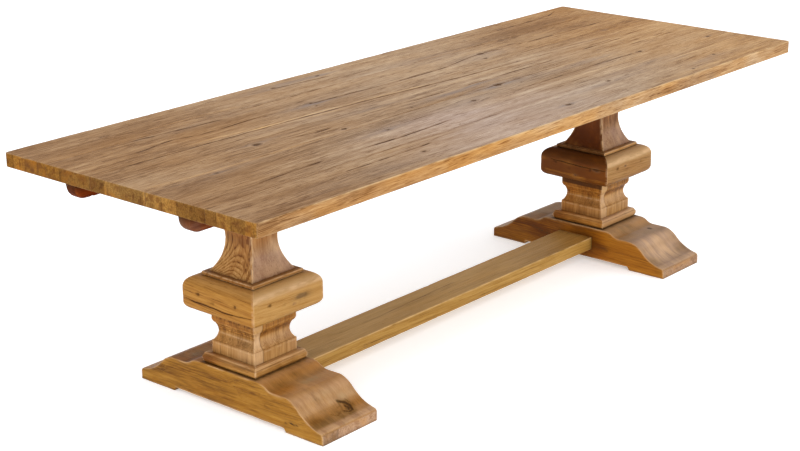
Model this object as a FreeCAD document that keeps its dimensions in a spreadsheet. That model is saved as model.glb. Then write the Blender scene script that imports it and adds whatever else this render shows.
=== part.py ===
import FreeCAD, Part
import math
import os
import Sketcher
from FreeCAD import Vector, Rotation, Placement

# Trestle dining table: a plank top on two square pedestals.
# Frame: origin on the floor under the middle of the top, +X along the length,
# +Y to the back, +Z up. Left is -X, front is -Y. Millimetres.

doc = FreeCAD.newDocument("trestle_table")

# ------------------------------------------------------------------ sizes
SIZES = [
    # top
    ("top_length", 2700, "length of the top"),
    ("top_under", 728, "height of the underside of the top"),
    ("top_thick", 42, "thickness of the boards"),
    ("joint_a", 495, "back edge"),
    ("joint_b", 314, "joint between boards 1 and 2"),
    ("joint_c", 130, "joint between boards 2 and 3"),
    ("joint_d", -88, "joint between boards 3 and 4"),
    ("joint_e", -311, "joint between boards 4 and 5"),
    ("joint_f", -495, "front edge"),
    ("corner_round", 12, "upright corners of the top"),
    # pedestals
    ("pedestal_x", 880, "pedestal centre from the middle"),
    ("foot_half", 373, "half length of a foot, front to back"),
    ("foot_wide", 234, "width of a foot"),
    ("foot_high", 125, "height of a foot at the middle"),
    ("foot_end_high", 38, "height of a foot at its end"),
    ("foot_shelf_high", 107, "height of the step beside the middle"),
    ("foot_flat_half", 125, "half length of the raised middle"),
    ("foot_step_half", 183, "where the step's slope starts"),
    ("foot_shelf_half", 232, "where the step ends"),
    ("foot_ogee_half", 280, "inflection of the sloping end"),
    ("foot_ogee_high", 82, "height of that inflection"),
    ("pad_inner", 230, "inner end of a foot pad"),
    ("relief_high", 12, "relief under the foot"),
    ("base_high", 31, "height of the base moulding"),
    ("base_foot_half", 104, "base moulding at the foot"),
    ("base_top_half", 101.5, "base moulding at its top"),
    ("base_arc", 21, "radius of its bullnose"),
    ("column_half", 88, "half width of the lower column"),
    ("column_top", 292, "top of the lower column"),
    ("scotia_low", 194, "lower end of the scotia"),
    ("scotia_high", 246, "upper end of the scotia"),
    ("scotia_half", 80, "half width at the scotia's upper end"),
    ("scotia_arc", 44, "radius of the scotia"),
    ("ovolo_top", 264, "upper end of the ovolo"),
    ("ovolo_arc", 21, "radius of the ovolo"),
    ("stave_joint", -52, "glue line between the two staves"),
    ("block_half", 144.5, "half width of the cushion block"),
    ("block_top", 395, "top of the cushion block"),
    ("block_low_arc", 25, "rounding of its lower edge"),
    ("block_top_arc", 33, "rounding of its upper edge"),
    ("facing_thick", 45, "thickness of a facing"),
    ("plate_half", 104.5, "half width of the two thin plates"),
    ("plate_low_thick", 12, "thickness of the lower plate"),
    ("plate_up_thick", 14, "thickness of the upper plate"),
    ("plate_round", 4, "rounded edge of the plates"),
    ("neck_end_half", 88.5, "half width of the neck at both ends"),
    ("neck_top", 608, "top of the neck"),
    ("neck_arc", 163, "radius of the cove"),
    # stretcher
    ("stretcher_low", 45, "underside of the stretcher"),
    ("stretcher_thick", 45, "its thickness"),
    ("stretcher_wide", 140, "its width"),
    ("tenon_long", 60, "stub tenon length"),
    ("tenon_thick", 22, "stub tenon thickness"),
    ("tenon_wide", 100, "stub tenon width"),
    ("tenon_ease", 0.2, "clearance round the tenon"),
    ("peg_bore_r", 6.1, "bore of the draw pegs"),
    ("peg_r", 6, "draw peg"),
    ("peg_inset", 25, "peg from the tenon's shoulder"),
    ("peg_spread", 30, "peg from the middle line"),
    # bearers and keepers
    ("bearer_wide", 100, "width of a bearer"),
    ("bearer_half", 420, "half length of a bearer or keeper"),
    ("bearer_flat", 130, "half length of its flat seat"),
    ("bearer_end_low", 700, "underside at its ends"),
    ("keeper_x", 1150, "keeper centre from the middle"),
    ("keeper_wide", 60, "width of a keeper"),
    ("keeper_low", 660, "underside of a keeper"),
    ("keeper_flat", 264, "half length of that underside"),
    ("notch_floor", 680.6, "floor of the runner notches"),
    ("notch_wide", 47, "width of the runner notches"),
    # runners
    ("runner_y", 224, "runner centre from the middle line"),
    ("runner_wide", 46, "width of a runner"),
    ("runner_low", 681, "underside of a runner"),
    ("runner_high", 727.5, "upper side of a runner"),
    ("runner_nose", 1345, "outer end of a runner"),
    ("runner_tail", 300, "inner end of a runner"),
    ("nose_arc", 32, "rounding of the outer end"),
    ("stop_peg_x", 324, "stop peg centre"),
    ("stop_peg_r", 6, "stop peg"),
    ("stop_bore_r", 6.1, "bore of the stop peg"),
    ("stop_peg_low", 658, "lower end of the stop peg"),
    ("stop_peg_long", 62, "length of the stop peg"),
    ("block_inner", 262, "inner end of a stop block"),
    ("block_outer", 299.8, "outer end of a stop block"),
    ("stop_block_low", 690, "underside of a stop block"),
    # tie rods
    ("rod_r", 8, "tie rod"),
    ("rod_bore_r", 9, "bore for the tie rod"),
    ("rod_low", 22, "lower end of the tie rod"),
    ("rod_long", 698, "length of the tie rod"),
    ("sink_r", 23, "counterbore for nut and washer"),
    ("sink_foot", 42, "top of the counterbore in the foot"),
    ("sink_bearer", 700, "floor of the counterbore in the bearer"),
    ("washer_r", 20, "washer"),
    ("washer_thick", 3, "washer thickness"),
    ("washer_bore_r", 8.5, "washer bore"),
    ("nut_across", 13.86, "nut, centre to corner"),
    ("nut_thick", 13, "nut thickness"),
    ("nut_bore_r", 8.2, "nut bore"),
    # small fixings
    ("dowel_r", 7, "locating dowel"),
    ("dowel_bore_r", 7.1, "its bore"),
    ("dowel_long", 64, "its length"),
    ("dowel_spread", 50, "dowel from the column's axis"),
    ("nail_r", 1.7, "facing nail"),
    ("nail_bore_r", 1.8, "its hole"),
    ("nail_long", 58, "its length"),
    ("nail_sunk", 2, "its head below the face"),
    ("screw_r", 2.8, "shank of a top screw"),
    ("screw_bore_r", 3.5, "clearance hole for it"),
    ("pilot_r", 2.9, "pilot hole in the boards"),
    ("pilot_high", 24, "depth of the pilot hole"),
    ("screw_head_r", 6, "head of a top screw"),
    ("screw_sink_r", 7, "counterbore for it"),
    ("screw_seat", 700, "height of the head's seat"),
    ("screw_head_high", 4, "height of the head"),
    ("screw_long", 50, "length of the shank"),
]
BEARER_SCREW_Y = (-390, -280, -165, 112, 165, 280, 390)
KEEPER_SCREW_Y = (-390, -280, -165, -55, 55, 165, 280, 390)
NAIL_YZ = ((-79, 352), (-19, 338), (71, 348))
DOWEL_Z = (93, 260, 369, 583)

sheet = doc.addObject("Spreadsheet::Sheet", "Sizes")
for row, (alias, value, note) in enumerate(SIZES, start=1):
    sheet.set("A%d" % row, note)
    sheet.set("B%d" % row, str(value))
    sheet.setAlias("B%d" % row, alias)
doc.recompute()


class Size:
    """A length with the sheet expression that drives it."""

    def __init__(self, text, value):
        self.text = text
        self.value = float(value)

    def __add__(self, other):
        o = size_of(other)
        return Size("(%s + %s)" % (self.text, o.text), self.value + o.value)

    __radd__ = __add__

    def __sub__(self, other):
        o = size_of(other)
        return Size("(%s - %s)" % (self.text, o.text), self.value - o.value)

    def __rsub__(self, other):
        o = size_of(other)
        return Size("(%s - %s)" % (o.text, self.text), o.value - self.value)

    def __mul__(self, other):
        o = size_of(other)
        return Size("(%s * %s)" % (self.text, o.text), self.value * o.value)

    __rmul__ = __mul__

    def __truediv__(self, other):
        o = size_of(other)
        return Size("(%s / %s)" % (self.text, o.text), self.value / o.value)

    def __neg__(self):
        return Size("(0 - %s)" % self.text, -self.value)


def size_of(x):
    if isinstance(x, Size):
        return x
    return Size("(%s)" % repr(float(x)), x)


S = {alias: Size("Sizes." + alias, value) for alias, value, note in SIZES}
nodes = []


def bind(obj, prop, q):
    q = size_of(q)
    obj.setExpression(prop, q.text)


def set_both_ways(feature):
    if "SideType" in feature.PropertiesList:
        feature.SideType = "Symmetric"
    else:
        feature.Midplane = True


# ------------------------------------------------------------------ sketches
def new_body(label, x=None, y=None, z=None, turn=0.0):
    body = doc.addObject("PartDesign::Body", label)
    body.Label = label
    px, py, pz = size_of(x or 0), size_of(y or 0), size_of(z or 0)
    body.Placement = Placement(Vector(px.value, py.value, pz.value), Rotation(Vector(0, 0, 1), turn))
    for q, axis in ((x, "x"), (y, "y"), (z, "z")):
        if isinstance(q, Size):
            body.setExpression("Placement.Base." + axis, q.text)
    nodes.append(body)
    return body


def on_plane(body, name, role, lift=None):
    sk = body.newObject("Sketcher::SketchObject", name)
    plane = [f for f in body.Origin.OriginFeatures if f.Role == role][0]
    sk.AttachmentSupport = [(plane, "")]
    sk.MapMode = "FlatFace"
    if lift is not None:
        q = size_of(lift)
        sk.AttachmentOffset = Placement(Vector(0, 0, q.value), Rotation())
        sk.setExpression("AttachmentOffset.Base.z", q.text)
    return sk


def pin_point(sk, geo, pos, x, y):
    """Hold one point of the sketch at a driven position."""
    for kind, q, axis in (("DistanceX", size_of(x), -2), ("DistanceY", size_of(y), -1)):
        if abs(q.value) < 1e-9:
            sk.addConstraint(Sketcher.Constraint("PointOnObject", geo, pos, axis))
        else:
            n = sk.addConstraint(Sketcher.Constraint(kind, -1, 1, geo, pos, q.value))
            sk.setExpression("Constraints[%d]" % n, q.text)


def outline(sk, path):
    """Closed profile. path: (x, y, bend); bend None is a straight edge to the next
    point, (r, side) an arc of radius r with its centre left (+1) or right (-1)."""
    count = len(path)
    pts = [Vector(size_of(p[0]).value, size_of(p[1]).value, 0) for p in path]
    ends = []
    for i in range(count):
        a, b = pts[i], pts[(i + 1) % count]
        bend = path[i][2] if len(path[i]) > 2 else None
        if bend is None:
            g = sk.addGeometry(Part.LineSegment(a, b), False)
            ends.append((g, 1, 2))
        else:
            r = size_of(bend[0])
            side = bend[1]
            mid = (a + b) * 0.5
            along = b - a
            half = along.Length / 2.0
            left = Vector(-along.y, along.x, 0).normalize()
            centre = mid + left * (side * math.sqrt(max(r.value ** 2 - half ** 2, 0.0)))
            a0 = math.atan2(a.y - centre.y, a.x - centre.x)
            a1 = math.atan2(b.y - centre.y, b.x - centre.x)
            circle = Part.Circle(centre, Vector(0, 0, 1), r.value)
            if side > 0:
                g = sk.addGeometry(Part.ArcOfCircle(circle, a0, a1), False)
                ends.append((g, 1, 2))
            else:
                g = sk.addGeometry(Part.ArcOfCircle(circle, a1, a0), False)
                ends.append((g, 2, 1))
            n = sk.addConstraint(Sketcher.Constraint("Radius", g, r.value))
            sk.setExpression("Constraints[%d]" % n, r.text)
    for i in range(count):
        g, start, end = ends[i]
        h, next_start, _ = ends[(i + 1) % count]
        sk.addConstraint(Sketcher.Constraint("Coincident", g, end, h, next_start))
        pin_point(sk, g, start, path[i][0], path[i][1])


def box_outline(sk, x0, y0, x1, y1):
    outline(sk, [(x0, y0), (x1, y0), (x1, y1), (x0, y1)])


def circles(sk, centres, r):
    r = size_of(r)
    for x, y in centres:
        c = Vector(size_of(x).value, size_of(y).value, 0)
        g = sk.addGeometry(Part.Circle(c, Vector(0, 0, 1), r.value), False)
        n = sk.addConstraint(Sketcher.Constraint("Radius", g, r.value))
        sk.setExpression("Constraints[%d]" % n, r.text)
        pin_point(sk, g, 3, x, y)


def pad(body, sk, length, both=False):
    f = body.newObject("PartDesign::Pad", sk.Name + "_pad")
    f.Profile = sk
    f.Length = size_of(length).value
    bind(f, "Length", length)
    if both:
        set_both_ways(f)
    sk.Visibility = False
    return f


def pocket_through(body, sk):
    f = body.newObject("PartDesign::Pocket", sk.Name + "_pocket")
    f.Profile = sk
    f.Type = 1
    set_both_ways(f)
    return f


def pocket_up(body, sk, depth):
    """Blind pocket from a sketch below, cutting along the sketch's own normal."""
    f = body.newObject("PartDesign::Pocket", sk.Name + "_pocket")
    f.Profile = sk
    f.Type = 0
    f.Reversed = True
    bind(f, "Length", depth)
    return f


def pocket_down(body, sk, depth):
    """Blind pocket cutting against the sketch's normal."""
    f = body.newObject("PartDesign::Pocket", sk.Name + "_pocket")
    f.Profile = sk
    f.Type = 0
    bind(f, "Length", depth)
    return f


def edges_where(shape, test):
    names = []
    for i, e in enumerate(shape.Edges, start=1):
        if test(e):
            names.append("Edge%d" % i)
    return names


def compound(label, parts):
    c = doc.addObject("Part::Compound", label)
    c.Label = label
    c.Links = parts
    nodes.append(c)
    return c


def cylinder(name, x, y, z, r, high, tilt=None):
    c = doc.addObject("Part::Cylinder", name)
    rot = Rotation(Vector(0, 0, 1), 0) if tilt is None else Rotation(tilt[0], tilt[1])
    c.Placement = Placement(Vector(size_of(x).value, size_of(y).value, size_of(z).value), rot)
    bind(c, "Placement.Base.x", x)
    bind(c, "Placement.Base.y", y)
    bind(c, "Placement.Base.z", z)
    bind(c, "Radius", r)
    bind(c, "Height", high)
    return c


def side_sign(side):
    return -1 if side == "left" else 1


# ------------------------------------------------------------------ the top
PLANKS = [("joint_a", "joint_b"), ("joint_b", "joint_c"), ("joint_c", "joint_d"),
          ("joint_d", "joint_e"), ("joint_e", "joint_f")]
SCREW_SPOTS = [(S["pedestal_x"] * k, y) for k in (1, -1) for y in BEARER_SCREW_Y]
SCREW_SPOTS += [(S["keeper_x"] * k, y) for k in (1, -1) for y in KEEPER_SCREW_Y]
for i, (hi, lo) in enumerate(PLANKS, start=1):
    body = new_body("top_plank_%d" % i)
    sk = on_plane(body, "plank_%d_outline" % i, "XY_Plane", S["top_under"])
    half = S["top_length"] / 2
    box_outline(sk, -half, S[lo], half, S[hi])
    pad(body, sk, S["top_thick"])
    sk = on_plane(body, "plank_%d_pilots" % i, "XY_Plane", S["top_under"])
    spots = [(x, y) for x, y in SCREW_SPOTS if S[lo].value < y < S[hi].value]
    middle_x = (S["block_inner"] + S["block_outer"]) / 2
    for y in (S["runner_y"], -S["runner_y"]):
        if S[lo].value < y.value < S[hi].value:
            spots += [(middle_x, y), (-middle_x, y)]
    circles(sk, spots, S["pilot_r"])
    bored = pocket_up(body, sk, S["pilot_high"])
    if i in (1, 5):
        doc.recompute()
        outer = S["joint_a"].value if i == 1 else S["joint_f"].value
        upright = edges_where(bored.Shape, lambda e: len(e.Vertexes) == 2
                              and abs(e.Vertexes[0].Point.x - e.Vertexes[1].Point.x) < 1e-6
                              and abs(e.Vertexes[0].Point.y - outer) < 1e-6
                              and abs(e.Vertexes[1].Point.y - outer) < 1e-6)
        f = body.newObject("PartDesign::Fillet", "plank_%d_corners" % i)
        f.Base = (bored, upright)
        bind(f, "Radius", S["corner_round"])

# ------------------------------------------------------------------ pedestals
FOOT_SIDE = [
    # one half of the foot's side view, from the middle of the underside outwards
    (S["pad_inner"] - 8, S["relief_high"], None),
    (S["pad_inner"], 0, None),
    (S["foot_half"], 0, None),
    (S["foot_half"], S["foot_end_high"] - 8, (8, 1)),
    (S["foot_half"] - 8, S["foot_end_high"], (155, -1)),
    (S["foot_ogee_half"], S["foot_ogee_high"], (81, 1)),
    (S["foot_shelf_half"], S["foot_shelf_high"], None),
    (S["foot_step_half"], S["foot_shelf_high"], (51.3, -1)),
    ((S["foot_step_half"] + S["foot_flat_half"]) / 2, (S["foot_shelf_high"] + S["foot_high"]) / 2, (51.3, 1)),
    (S["foot_flat_half"], S["foot_high"], None),
]


def mirrored_path(half_path):
    """Close a half profile with its mirror image about the vertical axis."""
    path = list(half_path)
    back = []
    for k in range(len(half_path) - 1, -1, -1):
        x, y = half_path[k][0], half_path[k][1]
        # the edge that follows point k on the way back is the one that led to it
        bend = half_path[k - 1][2] if k > 0 else None
        back.append((-x, y, bend))
    return path + back


def drill_axis(body, name, bore, long_way=True):
    sk = on_plane(body, name, "XY_Plane")
    circles(sk, [(0, 0)], bore)
    return pocket_through(body, sk)


def drill_dowels(body, name, low, high):
    """Two dowel bores between two heights."""
    sk = on_plane(body, name, "XY_Plane", low)
    circles(sk, [(0, S["dowel_spread"]), (0, -S["dowel_spread"])], S["dowel_bore_r"])
    return pocket_up(body, sk, size_of(high) - low)


def foot(side):
    s = side_sign(side)
    body = new_body(side + "_foot", x=S["pedestal_x"] * s)
    sk = on_plane(body, side + "_foot_side", "YZ_Plane")
    outline(sk, mirrored_path(FOOT_SIDE))
    pad(body, sk, S["foot_wide"], both=True)
    # mortise for the stretcher's stub tenon, in the inner face
    sk = on_plane(body, side + "_foot_mortise", "XY_Plane",
                  S["stretcher_low"] + (S["stretcher_thick"] - S["tenon_thick"]) / 2)
    inner = S["foot_wide"] / 2
    deep = inner - S["tenon_long"] - 2
    box_outline(sk, deep * (-s), -(S["tenon_wide"] / 2), (inner + 5) * (-s), S["tenon_wide"] / 2)
    pocket_up(body, sk, S["tenon_thick"])
    # draw-peg bores from the relief
    sk = on_plane(body, side + "_foot_pegs", "XY_Plane", S["relief_high"])
    px = (inner - S["peg_inset"]) * (-s)
    circles(sk, [(px, S["peg_spread"]), (px, -S["peg_spread"])], S["peg_bore_r"])
    pocket_up(body, sk, 90)
    # tie rod bore and its counterbore
    drill_axis(body, side + "_foot_rod", S["rod_bore_r"])
    sk = on_plane(body, side + "_foot_sink", "XY_Plane", S["relief_high"])
    circles(sk, [(0, 0)], S["sink_r"])
    pocket_up(body, sk, S["sink_foot"] - S["relief_high"])
    drill_dowels(body, side + "_foot_dowels", DOWEL_Z[0] - 1, S["foot_high"] + 1)


def base_moulding(side, place, turn):
    s = side_sign(side)
    body = new_body("%s_base_moulding_%s" % (side, place), x=S["pedestal_x"] * s, turn=turn)
    sk = on_plane(body, "%s_base_%s_profile" % (side, place), "XZ_Plane")
    low = S["foot_high"]
    outline(sk, [(S["column_half"], low), (S["base_foot_half"], low, (S["base_arc"], 1)),
                 (S["base_top_half"], low + S["base_high"]), (S["column_half"], low + S["base_high"])])
    pad(body, sk, 260, both=True)
    mitre(body, "%s_base_%s_mitre" % (side, place))


def mitre(body, name):
    """Cut both ends of a strip on its +X side to 45 degrees."""
    sk = on_plane(body, name, "XY_Plane")
    for k in (1, -1):
        outline(sk, [(60, 60 * k), (170, 170 * k), (60, 170 * k)])
    return pocket_through(body, sk)


def stave(side, place):
    s = side_sign(side)
    body = new_body("%s_column_stave_%s" % (side, place), x=S["pedestal_x"] * s)
    low, top = S["foot_high"], S["column_top"]
    half = S["column_half"]
    moulded = [(half, S["scotia_low"], None), (half - 2, S["scotia_low"], (S["scotia_arc"], -1)),
               (S["scotia_half"], S["scotia_high"], (S["ovolo_arc"], 1)), (half, S["ovolo_top"], None)]
    sk = on_plane(body, "%s_stave_%s_front" % (side, place), "XZ_Plane")
    if place == "right":
        outline(sk, [(S["stave_joint"], low), (half, low)] + moulded + [(half, top), (S["stave_joint"], top)])
    else:
        back = [(-half, top, None), (-half, S["ovolo_top"], (S["ovolo_arc"], 1)),
                (-S["scotia_half"], S["scotia_high"], (S["scotia_arc"], -1)),
                (-(half - 2), S["scotia_low"], None), (-half, S["scotia_low"], None), (-half, low, None)]
        outline(sk, [(S["stave_joint"], low), (S["stave_joint"], top)] + back)
    pad(body, sk, half * 2, both=True)
    # the same moulding cut across the front and back
    sk = on_plane(body, "%s_stave_%s_side" % (side, place), "YZ_Plane")
    out = half + 10
    outline(sk, [(out, S["scotia_low"], None), (out, S["ovolo_top"], None), (half, S["ovolo_top"], (S["ovolo_arc"], -1)),
                 (S["scotia_half"], S["scotia_high"], (S["scotia_arc"], 1)), (half - 2, S["scotia_low"], None)])
    outline(sk, [(-out, S["scotia_low"], None), (-(half - 2), S["scotia_low"], (S["scotia_arc"], 1)),
                 (-S["scotia_half"], S["scotia_high"], (S["ovolo_arc"], -1)), (-half, S["ovolo_top"], None),
                 (-out, S["ovolo_top"], None)])
    pocket_through(body, sk)
    if place == "right":
        drill_axis(body, side + "_stave_rod", S["rod_bore_r"])
        drill_dowels(body, side + "_stave_dowels_low", low - 1, size_of(DOWEL_Z[0]) + S["dowel_long"] + 1)
        drill_dowels(body, side + "_stave_dowels_top", DOWEL_Z[1] - 1, top + 1)


def block_core(side):
    s = side_sign(side)
    half = S["block_half"] - S["facing_thick"]
    body = new_body(side + "_block_core", x=S["pedestal_x"] * s)
    sk = on_plane(body, side + "_core_outline", "XY_Plane", S["column_top"])
    box_outline(sk, -half, -half, half, half)
    pad(body, sk, S["block_top"] - S["column_top"])
    drill_axis(body, side + "_core_rod", S["rod_bore_r"])
    drill_dowels(body, side + "_core_dowels_low", S["column_top"] - 1, size_of(DOWEL_Z[1]) + S["dowel_long"] + 1)
    drill_dowels(body, side + "_core_dowels_top", DOWEL_Z[2] - 1, S["block_top"] + 1)
    # the nails' points reach into all four sides
    reach = S["nail_sunk"] + S["nail_long"] - S["facing_thick"] + 1
    for place, role, sign in (("right", "YZ_Plane", 1), ("left", "YZ_Plane", -1),
                              ("front", "XZ_Plane", 1), ("back", "XZ_Plane", -1)):
        sk = on_plane(body, "%s_core_nails_%s" % (side, place), role, half * sign)
        if place == "right":
            spots = [(a, b) for a, b in NAIL_YZ]
        elif place == "left":
            spots = [(-a, b) for a, b in NAIL_YZ]
        elif place == "front":
            spots = [(a, b) for a, b in NAIL_YZ]
        else:
            spots = [(-a, b) for a, b in NAIL_YZ]
        circles(sk, spots, S["nail_bore_r"])
        if sign > 0:
            pocket_down(body, sk, reach)
        else:
            pocket_up(body, sk, reach)


def block_facing(side, place, turn):
    s = side_sign(side)
    body = new_body("%s_block_facing_%s" % (side, place), x=S["pedestal_x"] * s, turn=turn)
    inner = S["block_half"] - S["facing_thick"]
    low, top = S["column_top"], S["block_top"]
    sk = on_plane(body, "%s_facing_%s_profile" % (side, place), "XZ_Plane")
    outline(sk, [(inner, low), (S["block_half"] - S["block_low_arc"], low, (S["block_low_arc"], 1)),
                 (S["block_half"], low + S["block_low_arc"], None),
                 (S["block_half"], top - S["block_top_arc"], (S["block_top_arc"], 1)),
                 (S["block_half"] - S["block_top_arc"], top, None), (inner, top)])
    pad(body, sk, 320, both=True)
    mitre(body, "%s_facing_%s_mitre" % (side, place))
    sk = on_plane(body, "%s_facing_%s_nails" % (side, place), "YZ_Plane")
    circles(sk, [(a, b) for a, b in NAIL_YZ], S["nail_bore_r"])
    pocket_through(body, sk)


def plate(side, place, low, thick):
    s = side_sign(side)
    body = new_body("%s_%s_plate" % (side, place), x=S["pedestal_x"] * s)
    half = S["plate_half"]
    sk = on_plane(body, "%s_%s_plate_outline" % (side, place), "XY_Plane", low)
    box_outline(sk, -half, -half, half, half)
    block = pad(body, sk, thick)
    doc.recompute()
    level = edges_where(block.Shape, lambda e: abs(e.Vertexes[0].Point.z - e.Vertexes[1].Point.z) < 1e-6)
    f = body.newObject("PartDesign::Fillet", "%s_%s_plate_edges" % (side, place))
    f.Base = (block, level)
    bind(f, "Radius", S["plate_round"])
    drill_axis(body, "%s_%s_plate_rod" % (side, place), S["rod_bore_r"])
    drill_dowels(body, "%s_%s_plate_dowels" % (side, place), low - 1, low + thick + 1)


def neck(side):
    s = side_sign(side)
    body = new_body(side + "_neck", x=S["pedestal_x"] * s)
    low, top, half = S["block_top"] + S["plate_low_thick"], S["neck_top"], S["neck_end_half"]
    sk = on_plane(body, side + "_neck_front", "XZ_Plane")
    outline(sk, [(-half, low, None), (half, low, (S["neck_arc"], -1)), (half, top, None), (-half, top, (S["neck_arc"], -1))])
    pad(body, sk, half * 2, both=True)
    sk = on_plane(body, side + "_neck_side", "YZ_Plane")
    out = half + 12
    outline(sk, [(out, low - 4), (out, top + 4), (half, top + 4), (half, top, (S["neck_arc"], 1)),
                 (half, low), (half, low - 4)])
    outline(sk, [(-out, low - 4), (-half, low - 4), (-half, low, (S["neck_arc"], 1)), (-half, top),
                 (-half, top + 4), (-out, top + 4)])
    pocket_through(body, sk)
    drill_axis(body, side + "_neck_rod", S["rod_bore_r"])
    drill_dowels(body, side + "_neck_dowels_low", low - 1, size_of(DOWEL_Z[2]) + S["dowel_long"] + 1)
    drill_dowels(body, side + "_neck_dowels_top", DOWEL_Z[3] - 1, top + 1)


def notched_batten(label, x, wide, low, flat, screw_y):
    """Cross batten under the top: tapered ends, two notches that guide the runners."""
    body = new_body(label, x=x)
    top, end = S["top_under"], S["bearer_half"]
    n_in = S["runner_y"] - S["notch_wide"] / 2
    n_out = S["runner_y"] + S["notch_wide"] / 2
    sk = on_plane(body, label + "_side", "YZ_Plane")
    outline(sk, [(-flat, low), (flat, low), (end, S["bearer_end_low"]), (end, top),
                 (n_out, top), (n_out, S["notch_floor"]), (n_in, S["notch_floor"]), (n_in, top),
                 (-n_in, top), (-n_in, S["notch_floor"]), (-n_out, S["notch_floor"]), (-n_out, top),
                 (-end, top), (-end, S["bearer_end_low"])])
    pad(body, sk, wide, both=True)
    # screw holes, counterbored from below
    sk = on_plane(body, label + "_screws", "XY_Plane")
    circles(sk, [(0, y) for y in screw_y], S["screw_bore_r"])
    pocket_through(body, sk)
    sk = on_plane(body, label + "_screw_sinks", "XY_Plane", S["screw_seat"])
    circles(sk, [(0, y) for y in screw_y], S["screw_sink_r"])
    pocket_down(body, sk, 120)
    return body


def bearer(side):
    s = side_sign(side)
    low = S["neck_top"] + S["plate_up_thick"]
    body = notched_batten(side + "_bearer", S["pedestal_x"] * s, S["bearer_wide"], low, S["bearer_flat"],
                          BEARER_SCREW_Y)
    drill_axis(body, side + "_bearer_rod", S["rod_bore_r"])
    sk = on_plane(body, side + "_bearer_sink", "XY_Plane", S["sink_bearer"])
    circles(sk, [(0, 0)], S["sink_r"])
    pocket_up(body, sk, 60)
    drill_dowels(body, side + "_bearer_dowels", low - 1, size_of(DOWEL_Z[3]) + S["dowel_long"] + 1)


TURNS = (("right", 0), ("back", 90), ("left", 180), ("front", 270))
for side in ("left", "right"):
    foot(side)
    for place, turn in TURNS:
        base_moulding(side, place, turn)
    stave(side, "left")
    stave(side, "right")
    block_core(side)
    for place, turn in TURNS:
        block_facing(side, place, turn)
    plate(side, "lower", S["block_top"], S["plate_low_thick"])
    neck(side)
    plate(side, "upper", S["neck_top"], S["plate_up_thick"])
    bearer(side)
    notched_batten(side + "_runner_keeper", S["keeper_x"] * side_sign(side), S["keeper_wide"],
                   S["keeper_low"], S["keeper_flat"], KEEPER_SCREW_Y)
    rod = cylinder(side + "_tie_rod", S["pedestal_x"] * side_sign(side), 0, S["rod_low"], S["rod_r"], S["rod_long"])
    rod.Label = side + "_tie_rod"
    nodes.append(rod)

# ------------------------------------------------------------------ stretcher
body = new_body("stretcher")
shoulder = S["pedestal_x"] - S["foot_wide"] / 2
tip = shoulder + S["tenon_long"]
z0 = S["stretcher_low"]
z1 = z0 + S["stretcher_thick"]
t0 = z0 + (S["stretcher_thick"] - S["tenon_thick"]) / 2 + S["tenon_ease"]
t1 = z0 + (S["stretcher_thick"] + S["tenon_thick"]) / 2 - S["tenon_ease"]
sk = on_plane(body, "stretcher_side", "XZ_Plane")
outline(sk, [(-shoulder, z0), (shoulder, z0), (shoulder, t0), (tip, t0), (tip, t1), (shoulder, t1), (shoulder, z1),
             (-shoulder, z1), (-shoulder, t1), (-tip, t1), (-tip, t0), (-shoulder, t0)])
pad(body, sk, S["stretcher_wide"], both=True)
sk = on_plane(body, "stretcher_cheeks", "XY_Plane")
cheek = S["tenon_wide"] / 2 - S["tenon_ease"]
for kx in (1, -1):
    for ky in (1, -1):
        box_outline(sk, shoulder * kx, cheek * ky, (tip + 5) * kx, (S["stretcher_wide"] / 2 + 5) * ky)
pocket_through(body, sk)
sk = on_plane(body, "stretcher_peg_holes", "XY_Plane")
peg_x = shoulder + S["peg_inset"]
circles(sk, [(peg_x * kx, S["peg_spread"] * ky) for kx in (1, -1) for ky in (1, -1)], S["peg_bore_r"])
pocket_through(body, sk)

# ------------------------------------------------------------------ runners
for side in ("left", "right"):
    s = side_sign(side)
    for place, k in (("front", -1), ("back", 1)):
        name = "%s_%s" % (side, place)
        body = new_body(name + "_runner", y=S["runner_y"] * k)
        sk = on_plane(body, name + "_runner_side", "XZ_Plane")
        nose, tail = S["runner_nose"] * s, S["runner_tail"] * s
        low, high, arc = S["runner_low"], S["runner_high"], S["nose_arc"]
        outline(sk, [(nose, high, None), (nose, low + arc, (arc, 1 if s < 0 else -1)),
                     (nose - arc * s, low, None), (tail, low, None), (tail, high, None)])
        pad(body, sk, S["runner_wide"], both=True)
        sk = on_plane(body, name + "_runner_peg_hole", "XY_Plane")
        circles(sk, [(S["stop_peg_x"] * s, 0)], S["stop_bore_r"])
        pocket_through(body, sk)
        peg = cylinder(name + "_stop_peg", S["stop_peg_x"] * s, S["runner_y"] * k, S["stop_peg_low"],
                       S["stop_peg_r"], S["stop_peg_long"])
        peg.Label = name + "_stop_peg"
        nodes.append(peg)

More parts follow.
